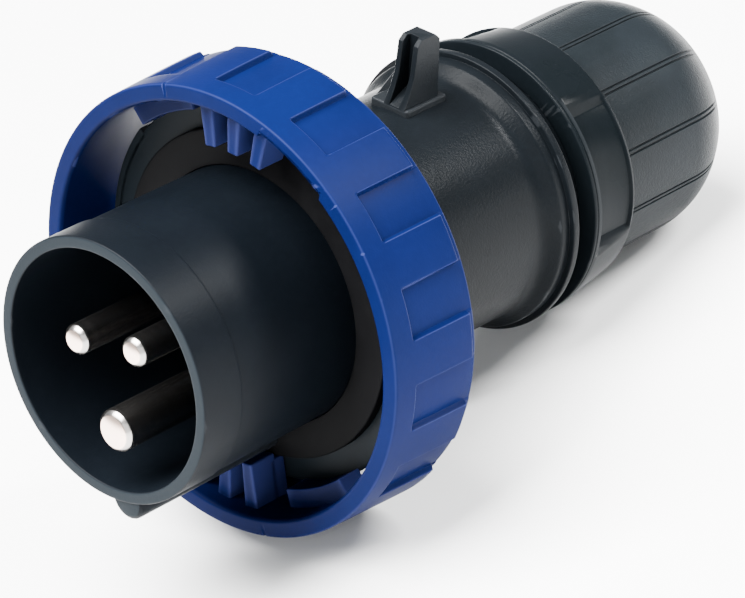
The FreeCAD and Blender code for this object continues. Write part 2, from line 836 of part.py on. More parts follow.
def turned(angle, side, rise):
    """A point beside a radial line at an angle from the top, in sketch coordinates across the plug."""
    return (
        side * cos_of(angle) - rise * sin_of(angle),
        side * sin_of(angle) + rise * cos_of(angle),
    )


def lug_core_cut(body):
    """Opens the tube again where the lug's foot was raised through it."""
    return revolve(body, "Groove", "lug_core", [
        (lug_foot_front - MARGIN, 0),
        (lug_foot_front - MARGIN, housing_bore),
        (lug_foot_front + S["lug_foot_length"] + MARGIN, housing_bore),
        (lug_foot_front + S["lug_foot_length"] + MARGIN, 0),
    ])


def mid_pad(body, name, sketch, length):
    feature = body.newObject("PartDesign::Pad", name)
    feature.Profile = sketch
    feature.Midplane = True
    feature.Length = size_of(length).value
    bind(feature, "Length", length)
    DOCUMENT.recompute()
    return feature


def make_collar():
    """Collar screwed on the housing's neck, with shallow dips round it and the gland's spigot."""
    body = new_body("coupling_collar")
    bore = rear_neck_radius + S["neck_fit"]
    revolve(body, "Revolution", "collar", [
        (collar_front, bore),
        (collar_front, collar_radius),
        (collar_front + S["collar_lip"], collar_radius),
        (collar_rear, collar_rear_radius),
        (collar_rear, S["spigot_radius"]),
        (spigot_rear, S["spigot_radius"]),
        (spigot_rear, seal_chamber_radius),
        (collar_rear, seal_chamber_radius),
        (collar_rear, cable_throat_radius),
        (collar_wall_front, cable_throat_radius),
        (collar_wall_front, bore),
    ])
    dip_front = collar_front + S["collar_lip"]
    dip_rear = collar_rear - S["collar_rear_rim"]
    dip_end = S["collar_dip_start"] + S["collar_dip_span"]
    beyond = collar_radius + MARGIN
    cuts = [revolve(body, "Groove", "dip", [
        (dip_front, collar_dip_radius),
        (dip_front, beyond),
        (dip_rear, beyond),
        (dip_rear, collar_dip_radius),
    ], start=S["collar_dip_start"], span=S["collar_dip_span"])]
    # a slope at each end of a dip, a long one and a short one
    slopes = [
        ("entry", S["collar_dip_start"] - S["collar_entry_ramp"], S["collar_dip_start"]),
        ("exit", dip_end + S["collar_exit_ramp"], dip_end),
    ]
    for name, high, low in slopes:
        section = new_sketch(body, name + "_slope_section", "YZ_Plane", offset=dip_rear)
        outline(section, [
            at_angle(high, collar_radius),
            at_angle(low, collar_dip_radius),
            at_angle(low, beyond),
            at_angle(high, beyond),
        ])
        body.Tip = pocket(body, name + "_slope", section, dip_rear - dip_front)
        cuts.append(body.Tip)
    polar(body, "dips", cuts, S["collar_dip_count"])


def make_gland_nut():
    """Domed gland nut with paired axial lines round it."""
    body = new_body("gland_nut")
    revolve(body, "Revolution", "dome", [
        (nut_front, nut_bore_radius),
        (nut_front, nut_radius),
        (dome_start, nut_radius),
        (nut_rear, dome_end_radius),
        (nut_rear, S["cable_radius"]),
        (nut_seat, S["cable_radius"]),
        (nut_seat, nut_bore_radius),
    ])
    rounds = [
        ("dome_rounding", dome_start, nut_radius, S["dome_round"]),
        ("dome_end_rounding", nut_rear, dome_end_radius, S["dome_end_round"]),
    ]
    for name, place, radius, size in rounds:
        corner = edges_where(body.Tip.Shape, lambda edge: is_round_edge(edge, place.value, radius.value))
        dress(body, "Fillet", name, corner, size)
    lines = []
    for side in (-1, 1):
        middle = S["nut_groove_gap"] / 2 * side
        half = S["nut_groove_width"] / 2
        floor = nut_radius - S["nut_groove_depth"]
        plan = new_sketch(body, f"line_plan_{side + 1}", "XY_Plane", turn=S["nut_groove_angle"], offset=floor)
        rectangle(plan, (nut_front + S["nut_rim"], middle - half), (nut_groove_end, middle + half))
        lines.append(pocket(body, f"line_{side + 1}", plan, S["nut_groove_depth"] + MARGIN, reverse=True))
        body.Tip = lines[-1]
    polar(body, "lines", lines, S["nut_groove_count"])


def make_gland_inside():
    """Rubber bush, washer, clamping cage and slip ring inside the gland."""
    chamber = seal_chamber_radius - S["seal_fit"]
    seal = new_body("gland_seal")
    seal_front = collar_rear + S["seal_fit"]
    revolve(seal, "Revolution", "bush", [
        (seal_front, seal_bore_radius),
        (seal_front, chamber),
        (washer_front, chamber),
        (washer_front, seal_bore_radius),
    ])
    washer = new_body("thrust_washer")
    revolve(washer, "Revolution", "washer", [
        (washer_front, cable_throat_radius),
        (washer_front, chamber),
        (cage_front, chamber),
        (cage_front, cable_throat_radius),
    ])
    cage = new_body("clamping_cage")
    revolve(cage, "Revolution", "cage", [
        (cage_front, cable_throat_radius),
        (cage_front, chamber),
        (cage_fingers_front, chamber),
        (cage_rear, cage_tip_radius),
        (cage_rear, cable_throat_radius),
    ])
    slot = new_sketch(cage, "finger_gap_plan", "XY_Plane")
    half = S["cage_slot"] / 2
    rectangle(slot, (cage_fingers_front, -half), (cage_rear + MARGIN, half))
    gap = pocket(cage, "finger_gap", slot, seal_chamber_radius + MARGIN, reverse=True)
    polar(cage, "finger_gaps", [gap], S["cage_fingers"])
    ring = new_body("slip_ring")
    outer = nut_bore_radius - S["slip_ring_fit"]
    revolve(ring, "Revolution", "ring", [
        (slip_ring_front, cable_throat_radius),
        (slip_ring_front, outer),
        (slip_ring_rear, outer),
        (slip_ring_rear, cable_throat_radius),
    ])


def make_body_seal():
    """O-ring in the groove of the housing's neck."""
    seal = DOCUMENT.addObject("Part::Torus", "body_seal")
    middle = rear_flange_rear + S["seal_groove_setback"] + S["seal_groove_width"] / 2
    radius = rear_neck_radius - S["seal_groove_depth"] + S["body_seal_radius"] + S["seal_fit"]
    seal.Placement = FreeCAD.Placement(ORIGIN, FreeCAD.Rotation(Y_AXIS, 90))
    bind(seal, "Radius1", radius)
    bind(seal, "Radius2", S["body_seal_radius"])
    bind(seal, ".Placement.Base.x", middle)
    finish_piece(seal, "body_seal")


def screw_direction(side, rise):
    """Unit vector from the plug's axis out through a contact."""
    reach = math.hypot(side.value, rise.value)
    return FreeCAD.Vector(0, side.value / reach, rise.value / reach)


def make_contact(name, side, rise, pin_radius, barrel_radius, tip):
    """Turned contact: pin, thicker root in the web, barrel with wire bore and tapped hole."""
    shaft_start = tip + S["pin_bevel"]
    bevel = cone(name + "_bevel", pin_radius - S["pin_bevel"], pin_radius, tip, S["pin_bevel"], side, rise)
    web_front = S["shroud_depth"]
    shaft = cylinder(name + "_shaft", pin_radius, shaft_start, web_front - shaft_start, side, rise)
    root_radius = pin_radius + S["pin_root_step"]
    root = cylinder(name + "_root", root_radius, web_front, barrel_front - web_front, side, rise)
    barrel = cylinder(name + "_barrel", barrel_radius, barrel_front, S["barrel_length"], side, rise)
    solid = join(name + "_solid", [bevel, shaft, root, barrel])
    bore_start = barrel_rear - S["wire_bore_depth"]
    bore = cylinder(name + "_wire_bore", S["wire_bore_radius"], bore_start, S["wire_bore_depth"], side, rise)
    hollow = cut(name + "_hollow", solid, bore)
    tapped = DOCUMENT.addObject("Part::Cylinder", name + "_tapped")
    outward = screw_direction(side, rise)
    tapped.Placement = FreeCAD.Placement(ORIGIN, FreeCAD.Rotation(FreeCAD.Vector(0, 0, 1), outward))
    bind(tapped, "Radius", S["terminal_screw_radius"])
    bind(tapped, "Height", barrel_radius + MARGIN)
    bind(tapped, ".Placement.Base.x", terminal_screw_x)
    bind(tapped, ".Placement.Base.y", side)
    bind(tapped, ".Placement.Base.z", rise)
    finish_piece(cut(name + "_pin", hollow, tapped), name + "_pin")
    make_terminal_screw(name, side, rise, barrel_radius, outward)
    make_wire_guard(name, side, rise, outward)


def make_terminal_screw(name, side, rise, barrel_radius, outward):
    """Slotted terminal screw, backed off so that the wire bore is free."""
    turn = FreeCAD.Rotation(FreeCAD.Vector(0, 0, 1), outward)
    shank_start = S["wire_bore_radius"]
    slot_reach = S["terminal_head_radius"] + MARGIN
    shank_length = barrel_radius + S["terminal_head_lift"] - shank_start
    shank = DOCUMENT.addObject("Part::Cylinder", name + "_screw_shank")
    head = DOCUMENT.addObject("Part::Cylinder", name + "_screw_head")
    slot = DOCUMENT.addObject("Part::Box", name + "_screw_slot")
    bind(shank, "Radius", S["terminal_screw_radius"] - S["pin_hole_fit"])
    bind(shank, "Height", shank_length)
    bind(head, "Radius", S["terminal_head_radius"])
    bind(head, "Height", S["terminal_head_height"])
    bind(slot, "Length", slot_reach * 2)
    bind(slot, "Width", S["screw_slot"])
    bind(slot, "Height", S["terminal_head_height"])
    shank.Placement.Base = FreeCAD.Vector(0, 0, shank_start.value)
    head_start = shank_start + shank_length
    head.Placement.Base = FreeCAD.Vector(0, 0, head_start.value)
    slot_floor = head_start + S["terminal_head_height"] / 2
    slot_corner = (-slot_reach, -(S["screw_slot"] / 2), slot_floor)
    slot.Placement.Base = FreeCAD.Vector(*(size.value for size in slot_corner))
    bind(shank, ".Placement.Base.z", shank_start)
    bind(head, ".Placement.Base.z", head_start)
    for path, size in zip(("x", "y", "z"), slot_corner):
        bind(slot, f".Placement.Base.{path}", size)
    screw = cut(name + "_terminal_screw", join(name + "_screw_solid", [shank, head]), slot)
    screw.Placement = FreeCAD.Placement(ORIGIN, turn)
    bind(screw, ".Placement.Base.x", terminal_screw_x)
    bind(screw, ".Placement.Base.y", side)
    bind(screw, ".Placement.Base.z", rise)
    finish_piece(screw, name + "_terminal_screw")


def make_wire_guard(name, side, rise, outward):
    """Thin leaf in the wire bore that keeps the screw off the strands."""
    leaf = DOCUMENT.addObject("Part::Box", name + "_wire_guard")
    bind(leaf, "Length", S["guard_length"])
    bind(leaf, "Width", S["guard_width"])
    bind(leaf, "Height", S["guard_thick"])
    half = S["guard_width"] / 2
    top = root_of(S["wire_bore_radius"] * S["wire_bore_radius"] - half * half) - S["guard_fit"]
    low = top - S["guard_thick"]
    turn = FreeCAD.Rotation(X_AXIS, math.degrees(math.atan2(-outward.y, outward.z)))
    corner = turn.multVec(FreeCAD.Vector(0, -half.value, low.value))
    leaf.Placement = FreeCAD.Placement(corner, turn)
    reach = root_of(side * side + rise * rise)
    across = rise / reach
    along = side / reach
    bind(leaf, ".Placement.Base.x", barrel_rear - S["guard_length"] - S["guard_setback"])
    bind(leaf, ".Placement.Base.y", side + along * low - across * half)
    bind(leaf, ".Placement.Base.z", rise + across * low + along * half)
    finish_piece(leaf, name + "_wire_guard")


def make_terminal_cover():
    """Plate over the barrels' ends, with a funnel for each wire."""
    body = new_body("terminal_cover")
    revolve(body, "Revolution", "plate", [
        (cover_front, 0),
        (cover_front, cover_radius),
        (cover_rear, cover_radius),
        (cover_rear, 0),
    ])
    for name, side, rise, _, barrel_radius, _ in CONTACTS:
        seat = new_sketch(body, name + "_seat_circle", "YZ_Plane", offset=cover_front)
        circle(seat, (side, rise), barrel_radius + S["cover_fit"])
        body.Tip = pocket(body, name + "_seat", seat, S["cover_sink"], reverse=True)
        funnel = new_sketch(body, name + "_funnel_circle", "YZ_Plane", offset=cover_rear)
        circle(funnel, (side, rise), S["funnel_radius"])
        body.Tip = pocket(body, name + "_funnel", funnel, S["cover_thick"])
    hole = new_sketch(body, "screw_circle", "YZ_Plane", offset=cover_rear)
    circle(hole, (0, 0), S["cover_screw_radius"] + S["pin_hole_fit"])
    body.Tip = pocket(body, "screw_hole", hole, S["cover_thick"])


def pan_screw(name, radius, head_radius, head_height, seat, length, y=0.0, z=0.0):
    """Pan head screw along X, its shank towards the mouth and its slot facing the cable."""
    shank = cylinder(name + "_shank", radius, seat - length, length, y, z)
    head = cylinder(name + "_head", head_radius, seat, head_height, y, z)
    slot = DOCUMENT.addObject("Part::Box", name + "_slot")
    slot_reach = head_radius + MARGIN
    bind(slot, "Length", head_height)
    bind(slot, "Width", S["screw_slot"])
    bind(slot, "Height", slot_reach * 2)
    bind(slot, ".Placement.Base.x", seat + head_height / 2)
    bind(slot, ".Placement.Base.y", y - S["screw_slot"] / 2)
    bind(slot, ".Placement.Base.z", z - slot_reach)
    return cut(name, join(name + "_solid", [shank, head]), slot)


def make_screws():
    cover_shank = S["cover_screw_length"] - S["screw_end_room"]
    cover_screw = pan_screw(
        "cover_screw", S["cover_screw_radius"] - S["pin_hole_fit"], S["cover_head_radius"],
        S["cover_head_height"], cover_rear, cover_shank, size_of(0), size_of(0),
    )
    finish_piece(cover_screw, "cover_screw")
    screws = []
    fixing_length = S["base_thick"] + S["fixing_bite"] - S["screw_end_room"]
    for index in range(int(S["fixing_count"].value)):
        angle = S["fixing_angle"] + 360 / S["fixing_count"] * index
        y, z = at_angle(angle, fixing_circle)
        screws.append(pan_screw(
            f"fixing_screw_{index}", S["fixing_radius"] - S["pin_hole_fit"], S["fixing_head_radius"],
            S["fixing_head_height"], base_rear, fixing_length, y, z,
        ))
    group = DOCUMENT.addObject("Part::Compound", "fixing_screws")
    group.Links = screws
    finish_piece(group, "fixing_screws")


def rest_angle():
    """Tilt of the lying plug: it stands on two grips of the ring and on the round of the gland nut."""
    half_grip = S["grip_span"] / 2
    foot_x = ring_land_end - S["ring_edge"]
    foot_drop = ring_radius * cos_of(half_grip)
    dome_fall = (nut_radius - dome_end_radius).value
    dome_slope = math.atan2(dome_fall, (nut_rear - dome_start).value)
    round_x = dome_start - S["dome_round"] * math.tan(dome_slope / 2)
    round_drop = nut_radius - S["dome_round"]
    along = (round_x - foot_x).value
    fall = (foot_drop - round_drop).value
    reach = math.hypot(along, fall)
    return math.degrees(math.acos(S["dome_round"].value / reach) - math.atan2(along, fall))


def lay_down(angle):
    """Tips every finished piece about Y, then moves the middle of the plug's underside to the origin."""
    tilt = FreeCAD.Placement(ORIGIN, FreeCAD.Rotation(Y_AXIS, angle))
    shapes = {}
    box = FreeCAD.BoundBox()
    for piece in PIECES:
        shape = piece.Shape.copy()
        shape.Placement = tilt.multiply(shape.Placement)
        box.add(shape.optimalBoundingBox(False, False))
        shapes[piece.Label] = shape
    shift = FreeCAD.Vector(-box.Center.x, -box.Center.y, -box.ZMin)
    for shape in shapes.values():
        shape.translate(shift)
    return shapes, shift


def check_and_export(shapes):
    DOCUMENT.recompute()
    for item in DOCUMENT.Objects:
        if "Invalid" in item.State or "Error" in item.State:
            raise RuntimeError(f"{item.Name} has failed: {item.State}")
    os.makedirs("parts", exist_ok=True)
    for label, shape in shapes.items():
        if shape.isNull() or not shape.isValid():
            raise RuntimeError(f"{label} has no valid shape")
        shape.exportStep(f"parts/{label}.step")


make_shroud_carrier()
make_face_gasket()
make_locking_ring()
make_body_housing()
make_collar()
make_gland_nut()
make_gland_inside()
make_body_seal()
for contact in CONTACTS:
    make_contact(*contact)
make_terminal_cover()
make_screws()
DOCUMENT.recompute()
REST = rest_angle()
LAID, SHIFT = lay_down(REST)
check_and_export(LAID)
print(f"pieces {len(PIECES)}, rest tilt {REST:.6f} degrees")
print(f"mouth centre at {SHIFT.x:.6f} {SHIFT.y:.6f} {SHIFT.z:.6f}")
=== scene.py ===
import json
import math

import bmesh
import bpy
from mathutils import Matrix, Vector


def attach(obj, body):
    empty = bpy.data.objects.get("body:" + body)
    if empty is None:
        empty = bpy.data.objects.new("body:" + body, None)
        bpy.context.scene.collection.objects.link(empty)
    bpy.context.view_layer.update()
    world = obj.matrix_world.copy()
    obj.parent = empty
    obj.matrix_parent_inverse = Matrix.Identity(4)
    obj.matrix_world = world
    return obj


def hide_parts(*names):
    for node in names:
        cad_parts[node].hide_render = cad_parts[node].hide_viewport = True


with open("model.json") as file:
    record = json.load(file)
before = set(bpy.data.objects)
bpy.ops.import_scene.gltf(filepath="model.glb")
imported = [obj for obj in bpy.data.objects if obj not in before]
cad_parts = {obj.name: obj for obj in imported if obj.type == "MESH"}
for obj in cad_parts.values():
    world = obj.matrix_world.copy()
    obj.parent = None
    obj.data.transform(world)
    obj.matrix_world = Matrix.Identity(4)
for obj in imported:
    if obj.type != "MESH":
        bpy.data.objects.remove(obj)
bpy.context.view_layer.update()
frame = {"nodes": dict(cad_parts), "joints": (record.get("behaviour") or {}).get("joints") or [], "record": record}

MM = 0.001

# Sizes in plug millimetres: places along the plug are counted from the mouth of the shroud,
# angles from the top, positive towards the camera's side
SHROUD_RADIUS = 22.0
SHROUD_BORE = 20.0
SHROUD_REAR_RADIUS = 21.7
SHROUD_DEPTH = 34.0
FRONT_BAND = 8.2
KEY_WIDTH = 5.6
KEY_HEIGHT = 3.2
KEY_ENDS = (0.4, 31.4)
KEY_NOSE = 1.0
KEY_SINK = 1.2
FLANGE_FRONT = 35.5
FLANGE_REAR = 39.0
FLANGE_RADIUS = 32.4
LAND_RISE = 0.9
BLOCK_SINK = 1.0
LAND_ENDS = ((80, 138), (260, 318))
WEB_REAR = 44.0
NECK_RADIUS = 18.3
NECK_BORE = 16.3
NECK_REAR = 47.0
NECK_FIT = 0.1
NECK_END_GAP = 1.0
GASKET_THICK = 2.0
GASKET_RADIUS = 27.8
GASKET_BORE = 21.8
PIN_SIDE = 6.4
PIN_RISE = 3.6
EARTH_DROP = 10.2
POLE_RADIUS = 2.5
POLE_TIP = 1.0
POLE_BARREL = 4.2
EARTH_RADIUS = 3.5
EARTH_TIP = 0.1
EARTH_BARREL = 4.6
PIN_BEVEL = 0.7
PIN_ROOT_STEP = 0.4
BARREL_FRONT = 42.0
BARREL_REAR = 58.0
WIRE_BORE = 1.9
WIRE_BORE_DEPTH = 11.0
RING_FRONT = 25.0
RING_LAND_END = 42.0
RING_REAR = 43.4
RING_RADIUS = 38.6
RING_FRONT_RADIUS = 37.9
RING_DRAFT_LENGTH = 15.0
RING_RIM_RADIUS = 37.8
RING_BORE = 34.9
RING_CHAMFER = (0.6, 0.35)
RING_OUTER_ROWS = (36.0, 41.4)
RING_RIM_SLOPE = 0.1
RING_SKIN = 0.9
RING_BLOCK_ROOT = 0.4
GRIP_COUNT = 15
GRIP_SPAN = 12.4
GRIP_START = 29.5
GRIP_DEPTH = 1.0
GRIP_EDGE = 0.35
GRIP_RAMP = (GRIP_START - 0.2, GRIP_START + 0.7)
# close rows of points where the grip recesses start
GRIP_ROWS = [GRIP_START + step * 0.15 for step in range(-3, 7)]
RELIEF_SPAN = 24.0
RELIEF_END = 31.0
RELIEF_DEPTH = 0.9
RELIEF_EDGE = 1.2
RELIEF_RAMP = (RELIEF_END - 0.3, RELIEF_END + 0.1)
RELIEF_ROWS = (37.0, RELIEF_END + 0.2, RELIEF_END, RELIEF_END - 0.2, 28.0)
NICK_ANGLES = (355.0, 176.0)
NICK_DEPTH = 0.3
NICK_SPREAD = (0.3, 0.6)
NICK_LENGTH = 0.6
NICK_RADII = (RING_RADIUS - 2, RING_RADIUS - 1)
CAM_ANGLES = (14, 194)
CAM_SPAN = 24.4
CAM_FRONT = 27.8
CAM_REAR = 35.2
CAM_INNER = 28.2
CAM_SLOT_DEPTH = 4.0
FIN_SPAN = 4.6
FIN_INNER = 27.2
FIN_REAR = 33.2
FIN_COUNT = 3
RAMP_ANGLE = -18
RAMP_SPAN = 24.0
RAMP_FRONT = 30.5
RAMP_INNER = 31.8
LIP_COUNT = 4
LIP_SPAN = 26.0
LIP_FRONT = 39.3
LIP_REAR = 41.5
LIP_INNER = 30.6
BASE_RADIUS = 30.5
BASE_REAR = 42.5
STOP_ENDS = ((59, 76), (239, 256))
TUBE_RADIUS = 21.2
TUBE_BORE = 18.5
FLARE_START = 79.0
FLARE_END = 81.2
FLARE_RADIUS = 23.4
REAR_FLANGE = (83.1, 84.5)
REAR_FLANGE_RADIUS = 24.4
REAR_NECK_RADIUS = 20.4
REAR_NECK_END = 96.5
SEAL_GROOVE = (85.55, 87.75)
SEAL_GROOVE_FLOOR = 19.1
LUG_ANGLE = 14.0
LUG_FOOT = (65.2, 74.8)
LUG_FOOT_NEAR = 2.9
LUG_FOOT_FAR = 5.1
LUG_FOOT_HEIGHT = 1.0
LUG_SINK = 1.5
LUG_FRONT = 68.0
LUG_REAR = 73.3
LUG_WIDTH = 4.3
LUG_HEIGHT = 12.2
LUG_CORNER = 1.0
LUG_KNEE_RISE = 6.0
LUG_KNEE_LEAD = 0.6
LUG_CHANNEL_WIDTH = 2.3
LUG_CHANNEL_DEPTH = 1.6
LUG_WEB = (69.0, 70.4)
LUG_WEB_WIDTH = 5.6
LUG_WEB_RISE = 7.0
COLLAR_FRONT = 88.8
COLLAR_LIP_END = 90.4
COLLAR_REAR = 100.4
COLLAR_RADIUS = 24.2
COLLAR_REAR_RADIUS = 22.9
COLLAR_WALL_FRONT = 97.4
COLLAR_FIT = 0.1
COLLAR_LINE = (0.6, 0.75, 0.9)
COLLAR_LINE_DEPTH = 0.12
DIP_COUNT = 3
DIP_START = 57.5
DIP_SPAN = 55.5
DIP_RADIUS = 22.3
DIP_REAR = 99.6
DIP_FRONT_RAMP = (COLLAR_LIP_END, COLLAR_LIP_END + 0.6)
DIP_REAR_RAMP = (DIP_REAR - 0.1, DIP_REAR + 0.3)
ENTRY_RAMP = 9.5
EXIT_RAMP = 5.0
SPIGOT_RADIUS = 16.4
SPIGOT_REAR = 112.8
CHAMBER_RADIUS = 13.6
THROAT_RADIUS = 9.4
NUT_FRONT = 100.7
NUT_RIM = 1.3
NUT_BORE = 16.5
NUT_SEAT = 119.8
NUT_REAR = 133.0
NUT_RADIUS = 20.8
NUT_ROWS = (106.0, 111.0, 116.0)
DOME_START = 124.3
DOME_END_RADIUS = 15.4
DOME_ROUND = 16.0
DOME_END_ROUND = 7.5
CABLE_RADIUS = 8.5
LINE_COUNT = 12
LINE_ANGLE = 23.0
LINE_GAP = 0.8
LINE_DEPTH = 0.35
LINE_EDGE = (0.08, 0.26)
LINE_FADE = (126.0, 129.0)

# Greatest share of a side that a rounding takes
ROUNDING_SHARE = 0.48
# How far beyond a rounded corner the point that keeps the next face flat lies, and how many times
# longer than the rounding and that distance a side is that gets one
HOLD = 0.3
HOLD_SIDE = 3
# Points this near to a bore belong to it
BORE_SKIN = 1.0
# Radius at which the flat ends stop short of the axis
AXIS_GAP = 0.01
# Distance in metres within which points merge
MERGE = 2e-6
# Steps round the plug in degrees, along a block and beside a change of shape
BLOCK_STEP = 2.0
FINE_STEP = 0.15
# Angles in degrees from which an edge stays sharp and from which a block's edge is rounded
SHARP_ANGLE = 38.0
ROUNDED_ANGLE = 32.0

# Corners of a block's six faces, its points given as four below and four above
BOX_FACES = [(3, 2, 1, 0), (4, 5, 6, 7), (0, 1, 5, 4), (1, 2, 6, 5), (2, 3, 7, 6), (3, 0, 4, 7)]

# The plug lies with its rear end down. Pieces are drawn along X from the mouth of the shroud,
# and the locking ring's joint, at the bottom of the shroud, says where the plug's own axis lies.
ring_joint = next(joint for joint in frame["joints"] if joint["name"] == "ring_turn")
axis_way = Vector(ring_joint["axis"]).normalized()
mouth = Vector(ring_joint["pos_m"]) - axis_way * SHROUD_DEPTH * MM
tilt = math.atan2(-axis_way.z, axis_way.x)
LIE = Matrix.Translation(mouth) @ Matrix.Rotation(tilt, 4, "Y")


# Mesh work


def polar_point(x, radius, angle):
    """A point at a place along the plug, a radius and an angle in degrees from the top."""
    turn = math.radians(angle)
    return Vector((x, -radius * math.sin(turn), radius * math.cos(turn)))


def make_piece(name, points, faces, body, finish, sharp=SHARP_ANGLE):
    """A mesh drawn in plug millimetres, laid down with the plug and riding on a CAD body."""
    mesh = bpy.data.meshes.new(name)
    mesh.from_pydata([LIE @ (Vector(point) * MM) for point in points], [], faces)
    shape = bmesh.new()
    shape.from_mesh(mesh)
    bmesh.ops.remove_doubles(shape, verts=shape.verts, dist=MERGE)
    bmesh.ops.recalc_face_normals(shape, faces=shape.faces)
    shape.to_mesh(mesh)
    shape.free()
    mesh.shade_smooth()
    mesh.set_sharp_from_angle(angle=math.radians(sharp))
    piece = bpy.data.objects.new(name, mesh)
    bpy.context.scene.collection.objects.link(piece)
    piece.data.materials.append(finish)
    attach(piece, body)
    return piece


def soften(piece, width):
    """Rounds a piece's own edges and evens its shading."""
    edge = piece.modifiers.new("edges", "BEVEL")
    edge.width = width * MM
    edge.segments = 3
    edge.limit_method = "ANGLE"
    edge.angle_limit = math.radians(ROUNDED_ANGLE)
    edge.harden_normals = True


def eased_outline(corners, steps=4):
    """Points of a closed outline, from corners given as place along the plug, radius and rounding.

    A rounded corner is held by a point on each side that is long enough.
    """
    points = []
    count = len(corners)
    for index, (x, radius, rounding) in enumerate(corners):
        here = Vector((x, radius))
        if rounding <= 0:
            points.append(here)
            continue
        before = Vector(corners[index - 1][:2])
        after = Vector(corners[(index + 1) % count][:2])
        reach_back = min(rounding, (before - here).length * ROUNDING_SHARE)
        reach_on = min(rounding, (after - here).length * ROUNDING_SHARE)
        back = (before - here).normalized()
        on = (after - here).normalized()
        start = here + back * reach_back
        end = here + on * reach_on
        if (before - here).length > HOLD_SIDE * (reach_back + HOLD):
            points.append(start + back * HOLD)
        for step in range(steps + 1):
            share = step / steps
            first = start.lerp(here, share)
            last = here.lerp(end, share)
            points.append(first.lerp(last, share))
        if (after - here).length > HOLD_SIDE * (reach_on + HOLD):
            points.append(end + on * HOLD)
    return points


def rows_faces(rows, cols, rows_close=True, cols_close=True):
    """Faces between neighbouring rows of points; rows and columns may close into a loop."""
    faces = []
    for row in range(rows if rows_close else rows - 1):
        following = (row + 1) % rows
        for col in range(cols if cols_close else cols - 1):
            beside = (col + 1) % cols
            faces.append((row * cols + col, following * cols + col,
                          following * cols + beside, row * cols + beside))
    return faces


def wall_faces(levels, count):
    """Faces of the walls between levels that are closed loops of points."""
    faces = []
    for level in range(levels - 1):
        for corner in range(count):
            beside = (corner + 1) % count
            faces.append((level * count + corner, level * count + beside,
                          (level + 1) * count + beside, (level + 1) * count + corner))
    return faces


def even_angles(count):
    return [360 * index / count for index in range(count)]


def turn_piece(name, outline, body, finish, angles=None, reshape=None, sharp=SHARP_ANGLE):
    """A closed outline turned about the plug's axis; reshape may move points by their angle."""
    if angles is None:
        angles = even_angles(240)
    points = []
    for angle in angles:
        for point in outline:
            x, radius = point
            if reshape:
                x, radius = reshape(x, radius, angle)
            points.append(polar_point(x, radius, angle))
    faces = rows_faces(len(angles), len(outline))
    return make_piece(name, points, faces, body, finish, sharp)


def arc_block(name, along, radii, span, body, finish, rounding=0.3):
    """A block between two places along X, two radii and two angles, with rounded edges."""
    count = max(2, int(abs(span[1] - span[0]) / BLOCK_STEP) + 1)
    points = []
    for index in range(count + 1):
        angle = span[0] + (span[1] - span[0]) * index / count
        for x, radius in ((along[0], radii[0]), (along[0], radii[1]),
                          (along[1], radii[1]), (along[1], radii[0])):
            points.append(polar_point(x, radius, angle))
    faces = [(0, 1, 2, 3), tuple(count * 4 + corner for corner in (3, 2, 1, 0))]
    faces += rows_faces(count + 1, 4, rows_close=False)
    soften(make_piece(name, points, faces, body, finish), rounding)


def ease(value):
    """Goes smoothly from 0 to 1 as the value does."""
    value = min(1.0, max(0.0, value))
    return value * value * (3 - 2 * value)


def rise(value, start, end):
    """0 up to start, 1 from end on, smooth in the middle."""
    return ease((value - start) / (end - start))


def window(value, start, end, soft):
    """1 between start and end, falling to 0 over a soft edge inside each end."""
    return rise(value, start, start + soft) * (1 - rise(value, end - soft, end))


def angle_from(angle, centre):
    """How far an angle lies from another, from -180 to 180 degrees."""
    return (angle - centre + 180.0) % 360.0 - 180.0


def dense_angles(edges, spread, fine, coarse):
    """Angles round the plug: fine steps within a spread of each edge, coarse steps elsewhere."""
    angles = set()
    total = int(round(360 / coarse))
    for index in range(total):
        angle = index * coarse
        if all(abs(angle_from(angle, edge)) > spread for edge in edges):
            angles.add(round(angle % 360, 4))
    for edge in edges:
        count = int(round(spread / fine))
        for index in range(-count, count + 1):
            angles.add(round((edge + index * fine) % 360, 4))
    return sorted(angles)


# Finishes

# How many spots of each pattern lie in a metre
CLOUD_SCALE = 38.0
FLECK_SCALE = 900.0
GRAIN_SCALE = 2600.0
DUST_SCALE = 140.0
RUBBER_GRAIN_SCALE = 3000.0
# Heights of the bumps in metres
GRAIN_HEIGHT = 0.00008
LATHE_HEIGHT = 0.00003
# Pointiness from which an edge starts to lighten, as wear and as a painted highlight, and at which it is fully
# lightened
EDGE_WEAR_AND_HIGHLIGHT = (0.515, 0.56)
# How squarely a face starts to look to the mouth, and how squarely it counts fully
MOUTH_FACING = (0.75, 0.97)
# The Mix node's colour sockets share their names, so they go by their places
MIX_FIRST = 6
MIX_SECOND = 7
MIX_RESULT = 2


class Flow:
    """A node socket that can be used in sums: each operator adds its Math node."""

    def __init__(self, finish, socket):
        self.finish = finish
        self.socket = socket

    def math(self, operation, first, second):
        values = {0: first, 1: second}
        return self.finish.add("ShaderNodeMath", {"operation": operation}, values).out()

    def __add__(self, other):
        return self.math("ADD", self, other)

    def __sub__(self, other):
        return self.math("SUBTRACT", self, other)

    def __mul__(self, other):
        return self.math("MULTIPLY", self, other)

    def __radd__(self, other):
        return self.math("ADD", other, self)

    def __rsub__(self, other):
        return self.math("SUBTRACT", other, self)

    def __rmul__(self, other):
        return self.math("MULTIPLY", other, self)

    def between(self, low, high):
        """0 up to low, 1 from high on, smooth in the middle."""
        settings = {"interpolation_type": "SMOOTHSTEP"}
        values = {"Value": self, "From Min": low, "From Max": high}
        return self.finish.add("ShaderNodeMapRange", settings, values).out("Result")


class Added:
    """A node with its sockets at hand."""

    def __init__(self, finish, node):
        self.finish = finish
        self.node = node

    def out(self, name=0):
        return Flow(self.finish, self.node.outputs[name])


